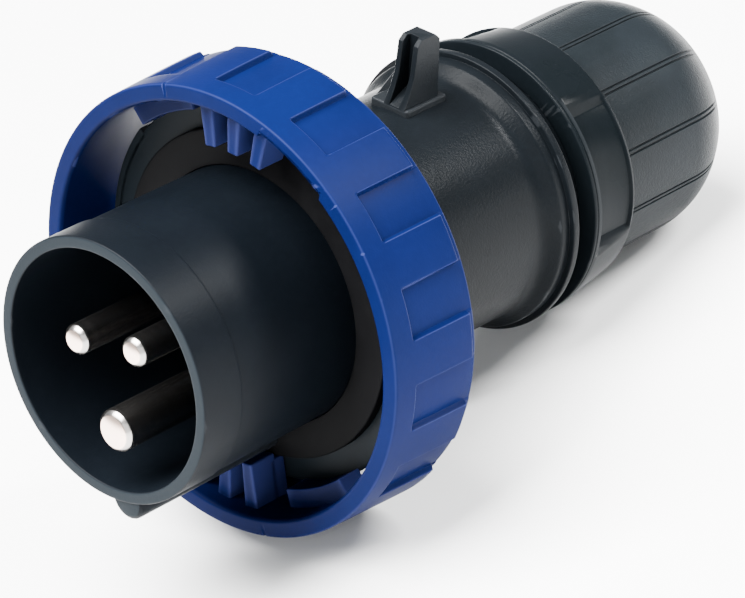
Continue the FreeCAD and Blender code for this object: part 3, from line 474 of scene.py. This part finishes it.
class Finish:
    """One material, with its shader and the nodes that feed it."""

    def __init__(self, name, roughness, metallic=0.0, specular=0.5):
        self.material = bpy.data.materials.new(name)
        self.material.use_nodes = True
        self.tree = self.material.node_tree
        self.shader = self.tree.nodes["Principled BSDF"]
        self.shader.inputs["Roughness"].default_value = roughness
        self.shader.inputs["Metallic"].default_value = metallic
        self.shader.inputs["Specular IOR Level"].default_value = specular
        settings = {"vector_type": "POINT"}
        values = {"Vector": self.add("ShaderNodeTexCoord").out("Object"), "Rotation": (0, -tilt, 0)}
        self.place = self.add("ShaderNodeMapping", settings, values).out()

    def add(self, kind, settings=None, values=None):
        """A node of a type, with its settings and then the values or links of its sockets."""
        node = self.tree.nodes.new(kind)
        for name, setting in (settings or {}).items():
            setattr(node, name, setting)
        for name, item in (values or {}).items():
            self.feed(node.inputs[name], item)
        return Added(self, node)

    def feed(self, socket, item):
        """Links a flow to a socket, or sets the socket to a value."""
        if isinstance(item, Flow):
            self.tree.links.new(item.socket, socket)
        elif socket.type == "RGBA" and len(item) == 3:
            socket.default_value = (*item, 1.0)
        else:
            socket.default_value = item

    def noise(self, scale, detail, roughness, place=None):
        values = {"Vector": place or self.place, "Scale": scale,
                  "Detail": detail, "Roughness": roughness}
        return self.add("ShaderNodeTexNoise", None, values).out("Fac")

    def stretched(self, scale):
        """The plug's own coordinates, stretched by three factors."""
        settings = {"operation": "MULTIPLY"}
        return self.add("ShaderNodeVectorMath", settings, {0: self.place, 1: scale}).out("Vector")

    def mix(self, share, first, second):
        """The first colour where the share is 0, the second where it is 1."""
        values = {"Factor": share, MIX_FIRST: first, MIX_SECOND: second}
        return self.add("ShaderNodeMix", {"data_type": "RGBA"}, values).out(MIX_RESULT)

    def edges(self):
        """1 on outward edges, from how pointed the surface is."""
        return self.add("ShaderNodeNewGeometry").out("Pointiness").between(*EDGE_WEAR_AND_HIGHLIGHT)

    def towards_mouth(self):
        """1 on faces that look forward along the plug, 0 on its sides; it places the painted front light and the
        painted side shade.
        """
        normal = self.add("ShaderNodeNewGeometry").out("Normal")
        settings = {"operation": "DOT_PRODUCT"}
        facing = self.add("ShaderNodeVectorMath", settings, {0: normal, 1: -axis_way}).out("Value")
        return facing.between(*MOUTH_FACING)

    def bump(self, height, strength, distance):
        values = {"Height": height, "Strength": strength, "Distance": distance}
        node = self.add("ShaderNodeBump", None, values)
        self.feed(self.shader.inputs["Normal"], node.out("Normal"))

    def colour(self, flow):
        self.feed(self.shader.inputs["Base Color"], flow)

    def roughness(self, flow):
        self.feed(self.shader.inputs["Roughness"], flow)


def srgb(red, green, blue):
    """Linear colour from the 0 to 255 numbers of a screen."""
    def linear(part):
        part = part / 255
        return part / 12.92 if part <= 0.04045 else ((part + 0.055) / 1.055) ** 2.4
    return (linear(red), linear(green), linear(blue))


def moulded(name, base, light, roughness, grain, wear_and_highlight=0.35, painted_front_light=None, specular=0.03):
    """Moulded plastic: uneven colour, fine grain, and edges lightened partly as wear and partly as a painted
    highlight.

    Where a painted front light is given, it is the colour painted onto the faces that look to the mouth, as if
    light fell on them from the front.
    """
    finish = Finish(name, roughness, specular=specular)
    clouds = finish.noise(CLOUD_SCALE, 4.0, 0.55)
    flecks = finish.noise(FLECK_SCALE, 2.0, 0.5)
    worn_and_lit = finish.edges()
    share = clouds.between(0.35, 0.7) * 0.55 + flecks.between(0.4, 0.75) * 0.2
    body = finish.mix(share, base, light)
    # painted light: faces that look to the mouth are painted lighter, as if lit from the front
    if painted_front_light:
        body = finish.mix(finish.towards_mouth() * (0.8 + clouds * 0.4), body, painted_front_light)
    # edges are lightened: partly wear, partly a painted highlight
    finish.colour(finish.mix(worn_and_lit * wear_and_highlight, body, tuple(part * 1.8 + 0.012 for part in light)))
    finish.roughness(roughness - 0.05 + clouds * 0.1 - worn_and_lit * 0.08)
    fine = finish.noise(GRAIN_SCALE, 3.0, 0.6)
    finish.bump(fine * 0.75 + flecks * 0.25, grain, GRAIN_HEIGHT)
    return finish.material


def rubber(name, base, light, roughness):
    """Rubber: dull, with a dusty bloom."""
    finish = Finish(name, roughness, specular=0.04)
    dust = finish.noise(DUST_SCALE, 5.0, 0.6)
    finish.colour(finish.mix(dust.between(0.42, 0.75) * 0.6, base, light))
    finish.roughness(roughness + dust * 0.1)
    finish.bump(finish.noise(RUBBER_GRAIN_SCALE, 3.0, 0.6), 0.35, GRAIN_HEIGHT)
    return finish.material


def turned_metal(name, base, light, roughness, rings=2600.0, painted_side_shade=None):
    """Turned metal: fine rings about the plug's axis and a few scratches.

    Where a painted side shade is given, it covers all but the faces that look to the mouth, as painted shade on
    the sides.
    """
    finish = Finish(name, roughness, metallic=1.0)
    lathe = finish.noise(1.0, 2.0, 0.5, finish.stretched((rings, 40.0, 40.0)))
    scratches = finish.noise(1.0, 1.0, 0.4, finish.stretched((60.0, 1500.0, 1500.0)))
    metal = finish.mix(lathe * 0.5 + scratches.between(0.5, 0.7) * 0.2, base, light)
    # painted shade: the sides are darkened, and the faces that look to the mouth keep the bright metal
    if painted_side_shade:
        metal = finish.mix(finish.towards_mouth(), painted_side_shade, metal)
    finish.colour(metal)
    finish.roughness(roughness - 0.05 + lathe * 0.12)
    finish.bump(lathe, 0.18, LATHE_HEIGHT)
    return finish.material


# the shroud's forward faces carry a painted front light
SHROUD = moulded("shroud_plastic", srgb(4, 6, 9), srgb(7, 10, 14), 0.42, 0.4,
                 painted_front_light=srgb(17, 22, 26))
# the ring's edges are lightened strongly, as a painted highlight along its recess edges
RING = moulded("ring_plastic", srgb(4, 11, 44), srgb(6, 15, 53), 0.4, 0.3, wear_and_highlight=0.9, specular=0.015)
HOUSING = moulded("housing_plastic", srgb(7, 9, 11), srgb(11, 14, 17), 0.29, 0.9, specular=0.026)
COLLAR = moulded("collar_plastic", srgb(6, 9, 11), srgb(10, 13, 16), 0.28, 0.2, specular=0.024)
NUT = moulded("nut_plastic", srgb(12, 15, 17), srgb(18, 22, 25), 0.35, 1.2)
GASKET = rubber("gasket_rubber", srgb(5, 5, 6), srgb(11, 11, 12), 0.62)
SEAL = rubber("seal_rubber", srgb(10, 10, 11), srgb(18, 18, 19), 0.6)
PLATING = (srgb(234, 204, 188), srgb(252, 230, 216))
# the contacts' sides carry painted shade; only their tips show the bright plating
CONTACT = turned_metal("contact_metal", *PLATING, 0.22, painted_side_shade=srgb(150, 147, 144))
SCREW = turned_metal("screw_steel", srgb(176, 178, 180), srgb(208, 209, 210), 0.32, 1400.0)
INNER = moulded("inner_plastic", srgb(180, 179, 172), srgb(198, 197, 191), 0.45, 0.4)

NODE_FINISH = {
    "shroud_plastic": SHROUD,
    "ring_plastic": RING,
    "housing_plastic": HOUSING,
    "nut_plastic": NUT,
    "gasket_rubber": GASKET,
    "seal_rubber": SEAL,
    "contact_metal": CONTACT,
    "screw_steel": SCREW,
    "inner_plastic": INNER,
}


def dress_nodes():
    """Gives every CAD node the finish of its material slot."""
    for entry in frame["record"]["subparts"]:
        node = frame["nodes"][entry["node"]]
        finish = NODE_FINISH[entry["material_slot"]]
        if not node.material_slots:
            node.data.materials.append(finish)
        for slot in node.material_slots:
            slot.material = finish


# Pieces


def make_shroud():
    """Shroud, flange and web, with the key under the shroud and the flange's two lands."""
    outline = eased_outline([
        (0, SHROUD_BORE, 0.3), (0, SHROUD_RADIUS, 0.3), (FRONT_BAND, SHROUD_RADIUS, 0.15),
        (FRONT_BAND, SHROUD_REAR_RADIUS, 0.1), (FLANGE_FRONT, SHROUD_REAR_RADIUS, 0.2),
        (FLANGE_FRONT, FLANGE_RADIUS, 0.25), (FLANGE_REAR, FLANGE_RADIUS, 0.25),
        (FLANGE_REAR, NECK_RADIUS, 0), (NECK_REAR, NECK_RADIUS, 0.3), (NECK_REAR, NECK_BORE, 0.3),
        (WEB_REAR, NECK_BORE, 0), (WEB_REAR, AXIS_GAP, 0), (SHROUD_DEPTH, AXIS_GAP, 0),
        (SHROUD_DEPTH, SHROUD_BORE, 0.8),
    ])
    shroud = turn_piece("shroud_body", outline, "plug_body", SHROUD)
    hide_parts("shroud_carrier")
    make_key()
    along = (FLANGE_FRONT, FLANGE_REAR)
    radii = (FLANGE_RADIUS - BLOCK_SINK, FLANGE_RADIUS + LAND_RISE)
    for index, ends in enumerate(LAND_ENDS):
        arc_block(f"flange_land_{index}", along, radii, ends, "plug_body", SHROUD, 0.25)


def make_key():
    """Key under the shroud: straight sides, a round outer edge and a rounded nose."""
    half = KEY_WIDTH / 2
    nose_steps = 8
    places = []
    for step in range(nose_steps + 1):
        turn = math.pi / 2 * step / nose_steps
        places.append((KEY_ENDS[0] + KEY_NOSE * (1 - math.cos(turn)), KEY_NOSE * (1 - math.sin(turn))))
    places.append((KEY_ENDS[1], 0.0))
    root = -SHROUD_RADIUS + KEY_SINK
    steps = 12
    points = []
    for x, lift in places:
        round_height = SHROUD_RADIUS + KEY_HEIGHT - half - lift
        section = [(-half, root)]
        for index in range(steps + 1):
            turn = math.pi * index / steps
            section.append((-half * math.cos(turn), -round_height - half * math.sin(turn)))
        section.append((half, root))
        points += [(x, side, height) for side, height in section]
    count = steps + 3
    faces = [tuple(range(count)), tuple(range(len(points) - 1, len(points) - count - 1, -1))]
    faces += wall_faces(len(places), count)
    soften(make_piece("shroud_key", points, faces, "plug_body", SHROUD), 0.2)


def make_gasket():
    """Flat ring of rubber in front of the flange."""
    front = FLANGE_FRONT - GASKET_THICK
    outline = eased_outline([
        (front, GASKET_BORE, 0.2), (front, GASKET_RADIUS, 0.35),
        (FLANGE_FRONT, GASKET_RADIUS, 0.2), (FLANGE_FRONT, GASKET_BORE, 0),
    ])
    gasket = turn_piece("gasket_face", outline, "plug_body", GASKET)
    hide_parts("face_gasket")


def make_ring():
    """Locking ring with its grip recesses, mouth reliefs, nicks, finned cams, ramps and rear lips."""
    chamfer_length, chamfer_rise = RING_CHAMFER
    corners = [(RING_FRONT, RING_BORE + chamfer_rise, 0.3), (RING_FRONT, RING_RADIUS, 0.4)]
    corners += [(x, RING_RADIUS, 0) for x in (*GRIP_ROWS, *RING_OUTER_ROWS)]
    corners += [
        (RING_LAND_END, RING_RADIUS, 0.4), (RING_LAND_END + RING_RIM_SLOPE, RING_RIM_RADIUS, 0.2),
        (RING_REAR, RING_RIM_RADIUS, 0.4), (RING_REAR, RING_BORE, 0.4),
    ]
    corners += [(x, RING_BORE, 0) for x in RELIEF_ROWS]
    corners.append((RING_FRONT + chamfer_length, RING_BORE, 0.2))
    outline = eased_outline(corners)
    pitch = 360 / GRIP_COUNT
    grips = [pitch / 2 + pitch * index for index in range(GRIP_COUNT)]
    reliefs = [(angle + CAM_SPAN / 2, angle + CAM_SPAN / 2 + RELIEF_SPAN) for angle in CAM_ANGLES]
    grip_floor = RING_RADIUS - GRIP_DEPTH

    def shaped(x, radius, angle):
        near = min(abs(angle_from(angle, grip)) for grip in grips)
        grip = 1 - rise(near, GRIP_SPAN / 2 - GRIP_EDGE, GRIP_SPAN / 2 + GRIP_EDGE)
        depth = grip * rise(x, *GRIP_RAMP)
        if radius > grip_floor:
            radius -= depth * (radius - grip_floor)
        if radius < RING_BORE + BORE_SKIN and x < RELIEF_RAMP[1]:
            relief = max(window(angle, start, end, RELIEF_EDGE) for start, end in reliefs)
            radius += RELIEF_DEPTH * relief * (1 - rise(x, *RELIEF_RAMP))
        # the outside narrows towards the mouth
        if radius > grip_floor - RING_SKIN:
            draft = 1 - min(1.0, (x - RING_FRONT) / RING_DRAFT_LENGTH)
            radius -= (RING_RADIUS - RING_FRONT_RADIUS) * draft
        nick = max(1 - rise(abs(angle_from(angle, place)), *NICK_SPREAD) for place in NICK_ANGLES)
        if x < RING_FRONT + NICK_LENGTH:
            x += NICK_DEPTH * nick * rise(radius, *NICK_RADII)
        return x, radius

    edges = [grip + side * GRIP_SPAN / 2 for grip in grips for side in (-1, 1)]
    edges += [end for relief in reliefs for end in relief] + list(NICK_ANGLES)
    angles = dense_angles(edges, spread=0.9, fine=FINE_STEP, coarse=1.2)
    ring = turn_piece("ring_shell", outline, "locking_ring", RING, angles, shaped, sharp=50.0)
    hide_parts("locking_ring")
    root = RING_BORE + RING_BLOCK_ROOT

    def ring_block(name, along, inner, span):
        arc_block(name, along, (inner, root), span, "locking_ring", RING)

    for index, centre in enumerate(CAM_ANGLES):
        start = centre - CAM_SPAN / 2
        slot_floor = CAM_FRONT + CAM_SLOT_DEPTH
        ring_block(f"cam_{index}", (slot_floor, CAM_REAR), CAM_INNER, (start, start + CAM_SPAN))
        fin_pitch = (CAM_SPAN - FIN_SPAN) / (FIN_COUNT - 1)
        for fin in range(FIN_COUNT):
            low = start + fin * fin_pitch
            fin_ends = (low, low + FIN_SPAN)
            ring_block(f"cam_{index}_fin_{fin}", (CAM_FRONT, FIN_REAR), FIN_INNER, fin_ends)
        ramp = centre - CAM_ANGLES[0] + RAMP_ANGLE
        ramp_ends = (ramp - RAMP_SPAN / 2, ramp + RAMP_SPAN / 2)
        ring_block(f"ramp_{index}", (RAMP_FRONT, CAM_REAR), RAMP_INNER, ramp_ends)
    for index in range(LIP_COUNT):
        centre = index * 360 / LIP_COUNT
        lip_ends = (centre - LIP_SPAN / 2, centre + LIP_SPAN / 2)
        ring_block(f"lip_{index}", (LIP_FRONT, LIP_REAR), LIP_INNER, lip_ends)


def make_housing():
    """Body behind the ring: base, tube, rear flange, neck, ring stops and lug."""
    inner_radius = NECK_RADIUS + NECK_FIT
    inner_rear = NECK_REAR + NECK_END_GAP
    outline = eased_outline([
        (FLANGE_REAR, inner_radius, 0), (FLANGE_REAR, BASE_RADIUS, 0.2),
        (BASE_REAR, BASE_RADIUS, 0.3), (BASE_REAR, TUBE_RADIUS, 1.0),
        (FLARE_START, TUBE_RADIUS, 1.4), (FLARE_END, FLARE_RADIUS, 0.4),
        (REAR_FLANGE[0], FLARE_RADIUS, 0.1), (REAR_FLANGE[0], REAR_FLANGE_RADIUS, 0.3),
        (REAR_FLANGE[1], REAR_FLANGE_RADIUS, 0.3), (REAR_FLANGE[1], REAR_NECK_RADIUS, 0.2),
        (SEAL_GROOVE[0], REAR_NECK_RADIUS, 0.1), (SEAL_GROOVE[0], SEAL_GROOVE_FLOOR, 0),
        (SEAL_GROOVE[1], SEAL_GROOVE_FLOOR, 0), (SEAL_GROOVE[1], REAR_NECK_RADIUS, 0.1),
        (REAR_NECK_END, REAR_NECK_RADIUS, 0.3), (REAR_NECK_END, TUBE_BORE, 0.2),
        (inner_rear, TUBE_BORE, 0), (inner_rear, inner_radius, 0),
    ], steps=6)
    shell = turn_piece("housing_shell", outline, "plug_body", HOUSING)
    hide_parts("body_housing")
    along = (FLANGE_REAR, BASE_REAR)
    radii = (BASE_RADIUS - BLOCK_SINK, FLANGE_RADIUS)
    for index, ends in enumerate(STOP_ENDS):
        arc_block(f"ring_stop_{index}", along, radii, ends, "plug_body", HOUSING)
    make_lug()


def lug_point(x, side, height):
    """A point of the lug: along the plug, to the side of its radial line and out from the axis."""
    turn = math.radians(LUG_ANGLE)
    return Vector((
        x,
        side * math.cos(turn) - height * math.sin(turn),
        side * math.sin(turn) + height * math.cos(turn),
    ))


def make_lug():
    """Upright lug with a thumb channel in front, on a low foot, with a sloping web beside it."""
    root = TUBE_RADIUS - LUG_SINK
    foot_top = TUBE_RADIUS + LUG_FOOT_HEIGHT
    corners = [(LUG_FOOT[0], -LUG_FOOT_NEAR), (LUG_FOOT[1], -LUG_FOOT_NEAR),
               (LUG_FOOT[1], LUG_FOOT_FAR), (LUG_FOOT[0], LUG_FOOT_FAR)]
    foot = [lug_point(x, side, height) for height in (root, foot_top) for x, side in corners]
    soften(make_piece("lug_foot", foot, BOX_FACES, "plug_body", HOUSING), 0.45)
    # levels of the upright, each with its height, front, rear and half width;
    # its plan is a U open to the front
    top = TUBE_RADIUS + LUG_HEIGHT
    half = LUG_WIDTH / 2
    knee = LUG_FRONT - LUG_KNEE_LEAD
    levels = [
        (root, LUG_FOOT[0], LUG_REAR, half + 0.15),
        (foot_top, LUG_FOOT[0] + 0.05, LUG_REAR, half + 0.1),
        (foot_top + 2.2, (LUG_FOOT[0] + knee) / 2 + 0.1, LUG_REAR, half + 0.05),
        (TUBE_RADIUS + LUG_KNEE_RISE, knee, LUG_REAR, half),
        (top - LUG_CORNER, LUG_FRONT, LUG_REAR, half),
        (top, LUG_FRONT + LUG_CORNER, LUG_REAR - LUG_CORNER, half - 0.1),
    ]
    points = []
    rim = LUG_CHANNEL_WIDTH / 2
    bed = rim * 0.8
    for height, front, rear, wide in levels:
        floor = front + 0.02
        if height > foot_top + 0.1:
            floor = max(floor, LUG_FRONT + LUG_CHANNEL_DEPTH)
        plan = [
            (front, -wide), (rear, -wide), (rear, wide), (front, wide),
            (front, rim), (floor, bed), (floor, -bed), (front, -rim),
        ]
        points += [lug_point(x, side, height) for x, side in plan]
    count = len(plan)
    faces = [tuple(range(count - 1, -1, -1)), tuple(range(len(points) - count, len(points)))]
    faces += wall_faces(len(levels), count)
    soften(make_piece("lug_upright", points, faces, "plug_body", HOUSING), 0.4)
    web_top = TUBE_RADIUS + LUG_WEB_RISE
    web_inside = half - 0.6
    slope = [(web_inside, root), (web_inside, web_top), (half, web_top), (half + LUG_WEB_WIDTH, root)]
    web = [lug_point(x, side, height) for x in LUG_WEB for side, height in slope]
    soften(make_piece("lug_web", web, BOX_FACES, "plug_body", HOUSING), 0.3)


def make_collar():
    """Collar with a full front lip and shallow dips between three raised stretches."""
    fall = (COLLAR_RADIUS - COLLAR_REAR_RADIUS) / (COLLAR_REAR - COLLAR_LIP_END)
    bore = REAR_NECK_RADIUS + COLLAR_FIT
    line_start, line_middle, line_end = [COLLAR_FRONT + back for back in COLLAR_LINE]
    corners = [
        (COLLAR_FRONT, bore, 0.2), (COLLAR_FRONT, REAR_NECK_RADIUS + 0.6, 0),
        (COLLAR_FRONT, COLLAR_RADIUS - 0.8, 0), (COLLAR_FRONT, COLLAR_RADIUS, 0.35),
        (line_start, COLLAR_RADIUS, 0), (line_middle, COLLAR_RADIUS - COLLAR_LINE_DEPTH, 0),
        (line_end, COLLAR_RADIUS, 0),
    ]
    rows = [COLLAR_LIP_END + back for back in (0, 0.3, 0.7, 4.0)]
    rows += [DIP_REAR + back for back in (-0.6, 0, 0.3)]
    for x in rows:
        corners.append((x, COLLAR_RADIUS - fall * (x - COLLAR_LIP_END), 0))
    corners += [
        (COLLAR_REAR, COLLAR_REAR_RADIUS, 0.3), (COLLAR_REAR, SPIGOT_RADIUS, 0),
        (SPIGOT_REAR, SPIGOT_RADIUS, 0.3), (SPIGOT_REAR, CHAMBER_RADIUS, 0.2),
        (COLLAR_REAR, CHAMBER_RADIUS, 0), (COLLAR_REAR, THROAT_RADIUS, 0.3),
        (COLLAR_WALL_FRONT, THROAT_RADIUS, 0.3), (COLLAR_WALL_FRONT, bore, 0),
    ]
    outline = eased_outline(corners, steps=5)
    starts = [DIP_START + 360 / DIP_COUNT * index for index in range(DIP_COUNT)]
    drop = COLLAR_RADIUS - DIP_RADIUS

    def dipped(x, radius, angle):
        if radius < DIP_RADIUS or x < COLLAR_LIP_END:
            return x, radius
        sunk = 0.0
        for start in starts:
            offset = angle_from(angle, start + DIP_SPAN / 2)
            entry = (offset + DIP_SPAN / 2 + ENTRY_RAMP) / ENTRY_RAMP
            leaving = (DIP_SPAN / 2 + EXIT_RAMP - offset) / EXIT_RAMP
            sunk = max(sunk, min(1.0, entry, leaving))
        reach = rise(x, *DIP_FRONT_RAMP) * (1 - rise(x, *DIP_REAR_RAMP))
        lowered = min(radius, COLLAR_RADIUS - drop * sunk)
        return x, radius + (lowered - radius) * reach

    collar = turn_piece("collar_shell", outline, "collar", COLLAR, even_angles(720), dipped)
    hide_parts("coupling_collar")


def true_round(before, corner, after, radius, steps):
    """Points of the arc of a given radius that rounds a corner of an outline."""
    corner = Vector(corner)
    back = (Vector(before) - corner).normalized()
    on = (Vector(after) - corner).normalized()
    half = back.angle(on) / 2
    centre = corner + (back + on).normalized() * radius / math.sin(half)
    reach = radius / math.tan(half)
    start = corner + back * reach - centre
    end = corner + on * reach - centre
    span = start.angle(end)
    points = []
    for step in range(steps + 1):
        share = step / steps
        way = (start * math.sin((1 - share) * span) + end * math.sin(share * span)) / math.sin(span)
        points.append(centre + way)
    return points


def make_nut():
    """Domed gland nut with pairs of fine lines along it, which fade out on the dome."""
    front_edge = (NUT_FRONT, NUT_RADIUS)
    shoulder = (DOME_START, NUT_RADIUS)
    end = (NUT_REAR, DOME_END_RADIUS)
    line_front = NUT_FRONT + NUT_RIM
    rows = (line_front - 0.2, line_front, line_front + 0.2, *NUT_ROWS)
    dome = true_round(front_edge, shoulder, end, DOME_ROUND, 14)
    dome += true_round(shoulder, end, (NUT_REAR, 0), DOME_END_ROUND, 12)
    corners = [(NUT_FRONT, NUT_BORE, 0.2), (*front_edge, 0.35)]
    corners += [(x, NUT_RADIUS, 0) for x in rows] + [(*point, 0) for point in dome]
    corners += [
        (NUT_REAR, CABLE_RADIUS, 0.4), (NUT_SEAT, CABLE_RADIUS, 0.2), (NUT_SEAT, NUT_BORE, 0.2),
    ]
    outline = eased_outline(corners)
    lines = [LINE_ANGLE + 360 / LINE_COUNT * index for index in range(LINE_COUNT)]
    line_ramp = (line_front - 0.1, line_front + 0.2)

    def lined(x, radius, angle):
        if radius < NUT_BORE + BORE_SKIN or x < line_ramp[0]:
            return x, radius
        near = min((angle_from(angle, line) for line in lines), key=abs)
        across = abs(abs(math.radians(near) * radius) - LINE_GAP / 2)
        groove = (1 - rise(across, *LINE_EDGE)) * rise(x, *line_ramp)
        return x, radius - LINE_DEPTH * groove * (1 - rise(x, *LINE_FADE))

    angles = dense_angles(lines, spread=2.1, fine=FINE_STEP, coarse=2.0)
    nut = turn_piece("nut_dome", outline, "gland_nut", NUT, angles, lined, sharp=60.0)
    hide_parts("gland_nut")


def make_contact(name, side, height, radius, tip, barrel):
    """Turned contact with a bevelled tip, a thicker root and a barrel for the wire."""
    bevel_end = tip + PIN_BEVEL
    root = radius + PIN_ROOT_STEP
    bore_end = BARREL_REAR - WIRE_BORE_DEPTH
    profile = [
        (tip, AXIS_GAP), (tip, radius - PIN_BEVEL - 0.12), (tip + 0.06, radius - PIN_BEVEL),
        (bevel_end - 0.08, radius - 0.08), (bevel_end + 0.12, radius), (bevel_end + 0.5, radius),
        (12, radius), (24, radius), (SHROUD_DEPTH, radius), (SHROUD_DEPTH, root),
        (BARREL_FRONT, root), (BARREL_FRONT, barrel), (BARREL_REAR, barrel), (BARREL_REAR, WIRE_BORE),
        (bore_end, WIRE_BORE), (bore_end, AXIS_GAP),
    ]
    points = []
    turns = 64
    cols = len(profile)
    for turn in range(turns):
        angle = 2 * math.pi * turn / turns
        for x, out in profile:
            points.append((x, side + out * math.cos(angle), height + out * math.sin(angle)))
    faces = rows_faces(turns, cols, cols_close=False)
    faces.append(tuple(turn * cols for turn in range(turns)))
    faces.append(tuple(turn * cols + cols - 1 for turn in reversed(range(turns))))
    contact = make_piece(name + "_contact", points, faces, "plug_body", CONTACT, sharp=30.0)
    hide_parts(name + "_pin")


def make_contacts():
    """The two poles side by side and the earth contact below them."""
    for name, side in (("phase", PIN_SIDE), ("neutral", -PIN_SIDE)):
        make_contact(name, side, PIN_RISE, POLE_RADIUS, POLE_TIP, POLE_BARREL)
    make_contact("earth", 0.0, -EARTH_DROP, EARTH_RADIUS, EARTH_TIP, EARTH_BARREL)


# Stage


def make_floor():
    """Plain pale floor under the plug."""
    mesh = bpy.data.meshes.new("floor")
    reach = 3.0
    corners = [(-reach, -reach, 0), (reach, -reach, 0), (reach, reach, 0), (-reach, reach, 0)]
    mesh.from_pydata(corners, [], [(0, 1, 2, 3)])
    floor = bpy.data.objects.new("floor", mesh)
    bpy.context.scene.collection.objects.link(floor)
    paper = Finish("floor_paper", 0.6, specular=0.2)
    cloud = paper.noise(3.0, 2.0, 0.5)
    paper.colour(paper.mix(cloud, (0.92, 0.92, 0.915), (0.94, 0.94, 0.935)))
    floor.data.materials.append(paper.material)


def make_light(name, place, target, size, power):
    """A rectangular light that looks at its target; distances in metres, power in watts."""
    lamp = bpy.data.lights.new(name, "AREA")
    lamp.shape = "RECTANGLE"
    lamp.size = size[0]
    lamp.size_y = size[1]
    lamp.energy = power
    light = bpy.data.objects.new(name, lamp)
    bpy.context.scene.collection.objects.link(light)
    light.location = place
    way = Vector(target) - Vector(place)
    light.rotation_euler = way.to_track_quat("-Z", "Y").to_euler()


def make_lights():
    """Soft studio light: a bright sky, one light over the plug, a strip behind it and one in front."""
    world = bpy.data.worlds.new("studio")
    bpy.context.scene.world = world
    world.use_nodes = True
    sky = world.node_tree.nodes["Background"]
    sky.inputs["Color"].default_value = (0.94, 0.97, 1.0, 1.0)
    sky.inputs["Strength"].default_value = 0.7
    make_light("over", (-0.3, 0.1, 1.05), (0, 0, 0.03), (0.9, 0.9), 150.0)
    make_light("strip", (0.66, -0.62, 0.72), (0.04, 0, 0.03), (0.1, 0.5), 40.0)
    make_light("front", (-1.05, -0.8, 0.45), (-0.04, 0, 0.04), (1.0, 0.9), 9.0)


def make_camera():
    """The photograph's camera, given in the plug's own frame."""
    eye = Vector((-392.458, -466.454, 229.624))
    right = Vector((0.67341, -0.72538, -0.14262)).normalized()
    down = Vector((-0.34749, -0.14031, -0.92713)).normalized()
    ahead = right.cross(down).normalized()
    turn = Matrix((right, -down, -ahead)).transposed().to_4x4()
    sensor_width = 36.0
    focal_pixels = 4260.46
    photo_width = 745
    lens = bpy.data.cameras.new("camera")
    lens.sensor_width = sensor_width
    lens.lens = focal_pixels * sensor_width / photo_width
    lens.clip_start = 0.01
    camera = bpy.data.objects.new("camera", lens)
    bpy.context.scene.collection.objects.link(camera)
    camera.matrix_world = LIE @ Matrix.Translation(eye * MM) @ turn
    bpy.context.scene.camera = camera


dress_nodes()
make_shroud()
make_gasket()
make_ring()
make_housing()
make_collar()
make_nut()
make_contacts()
make_floor()
make_lights()
make_camera()
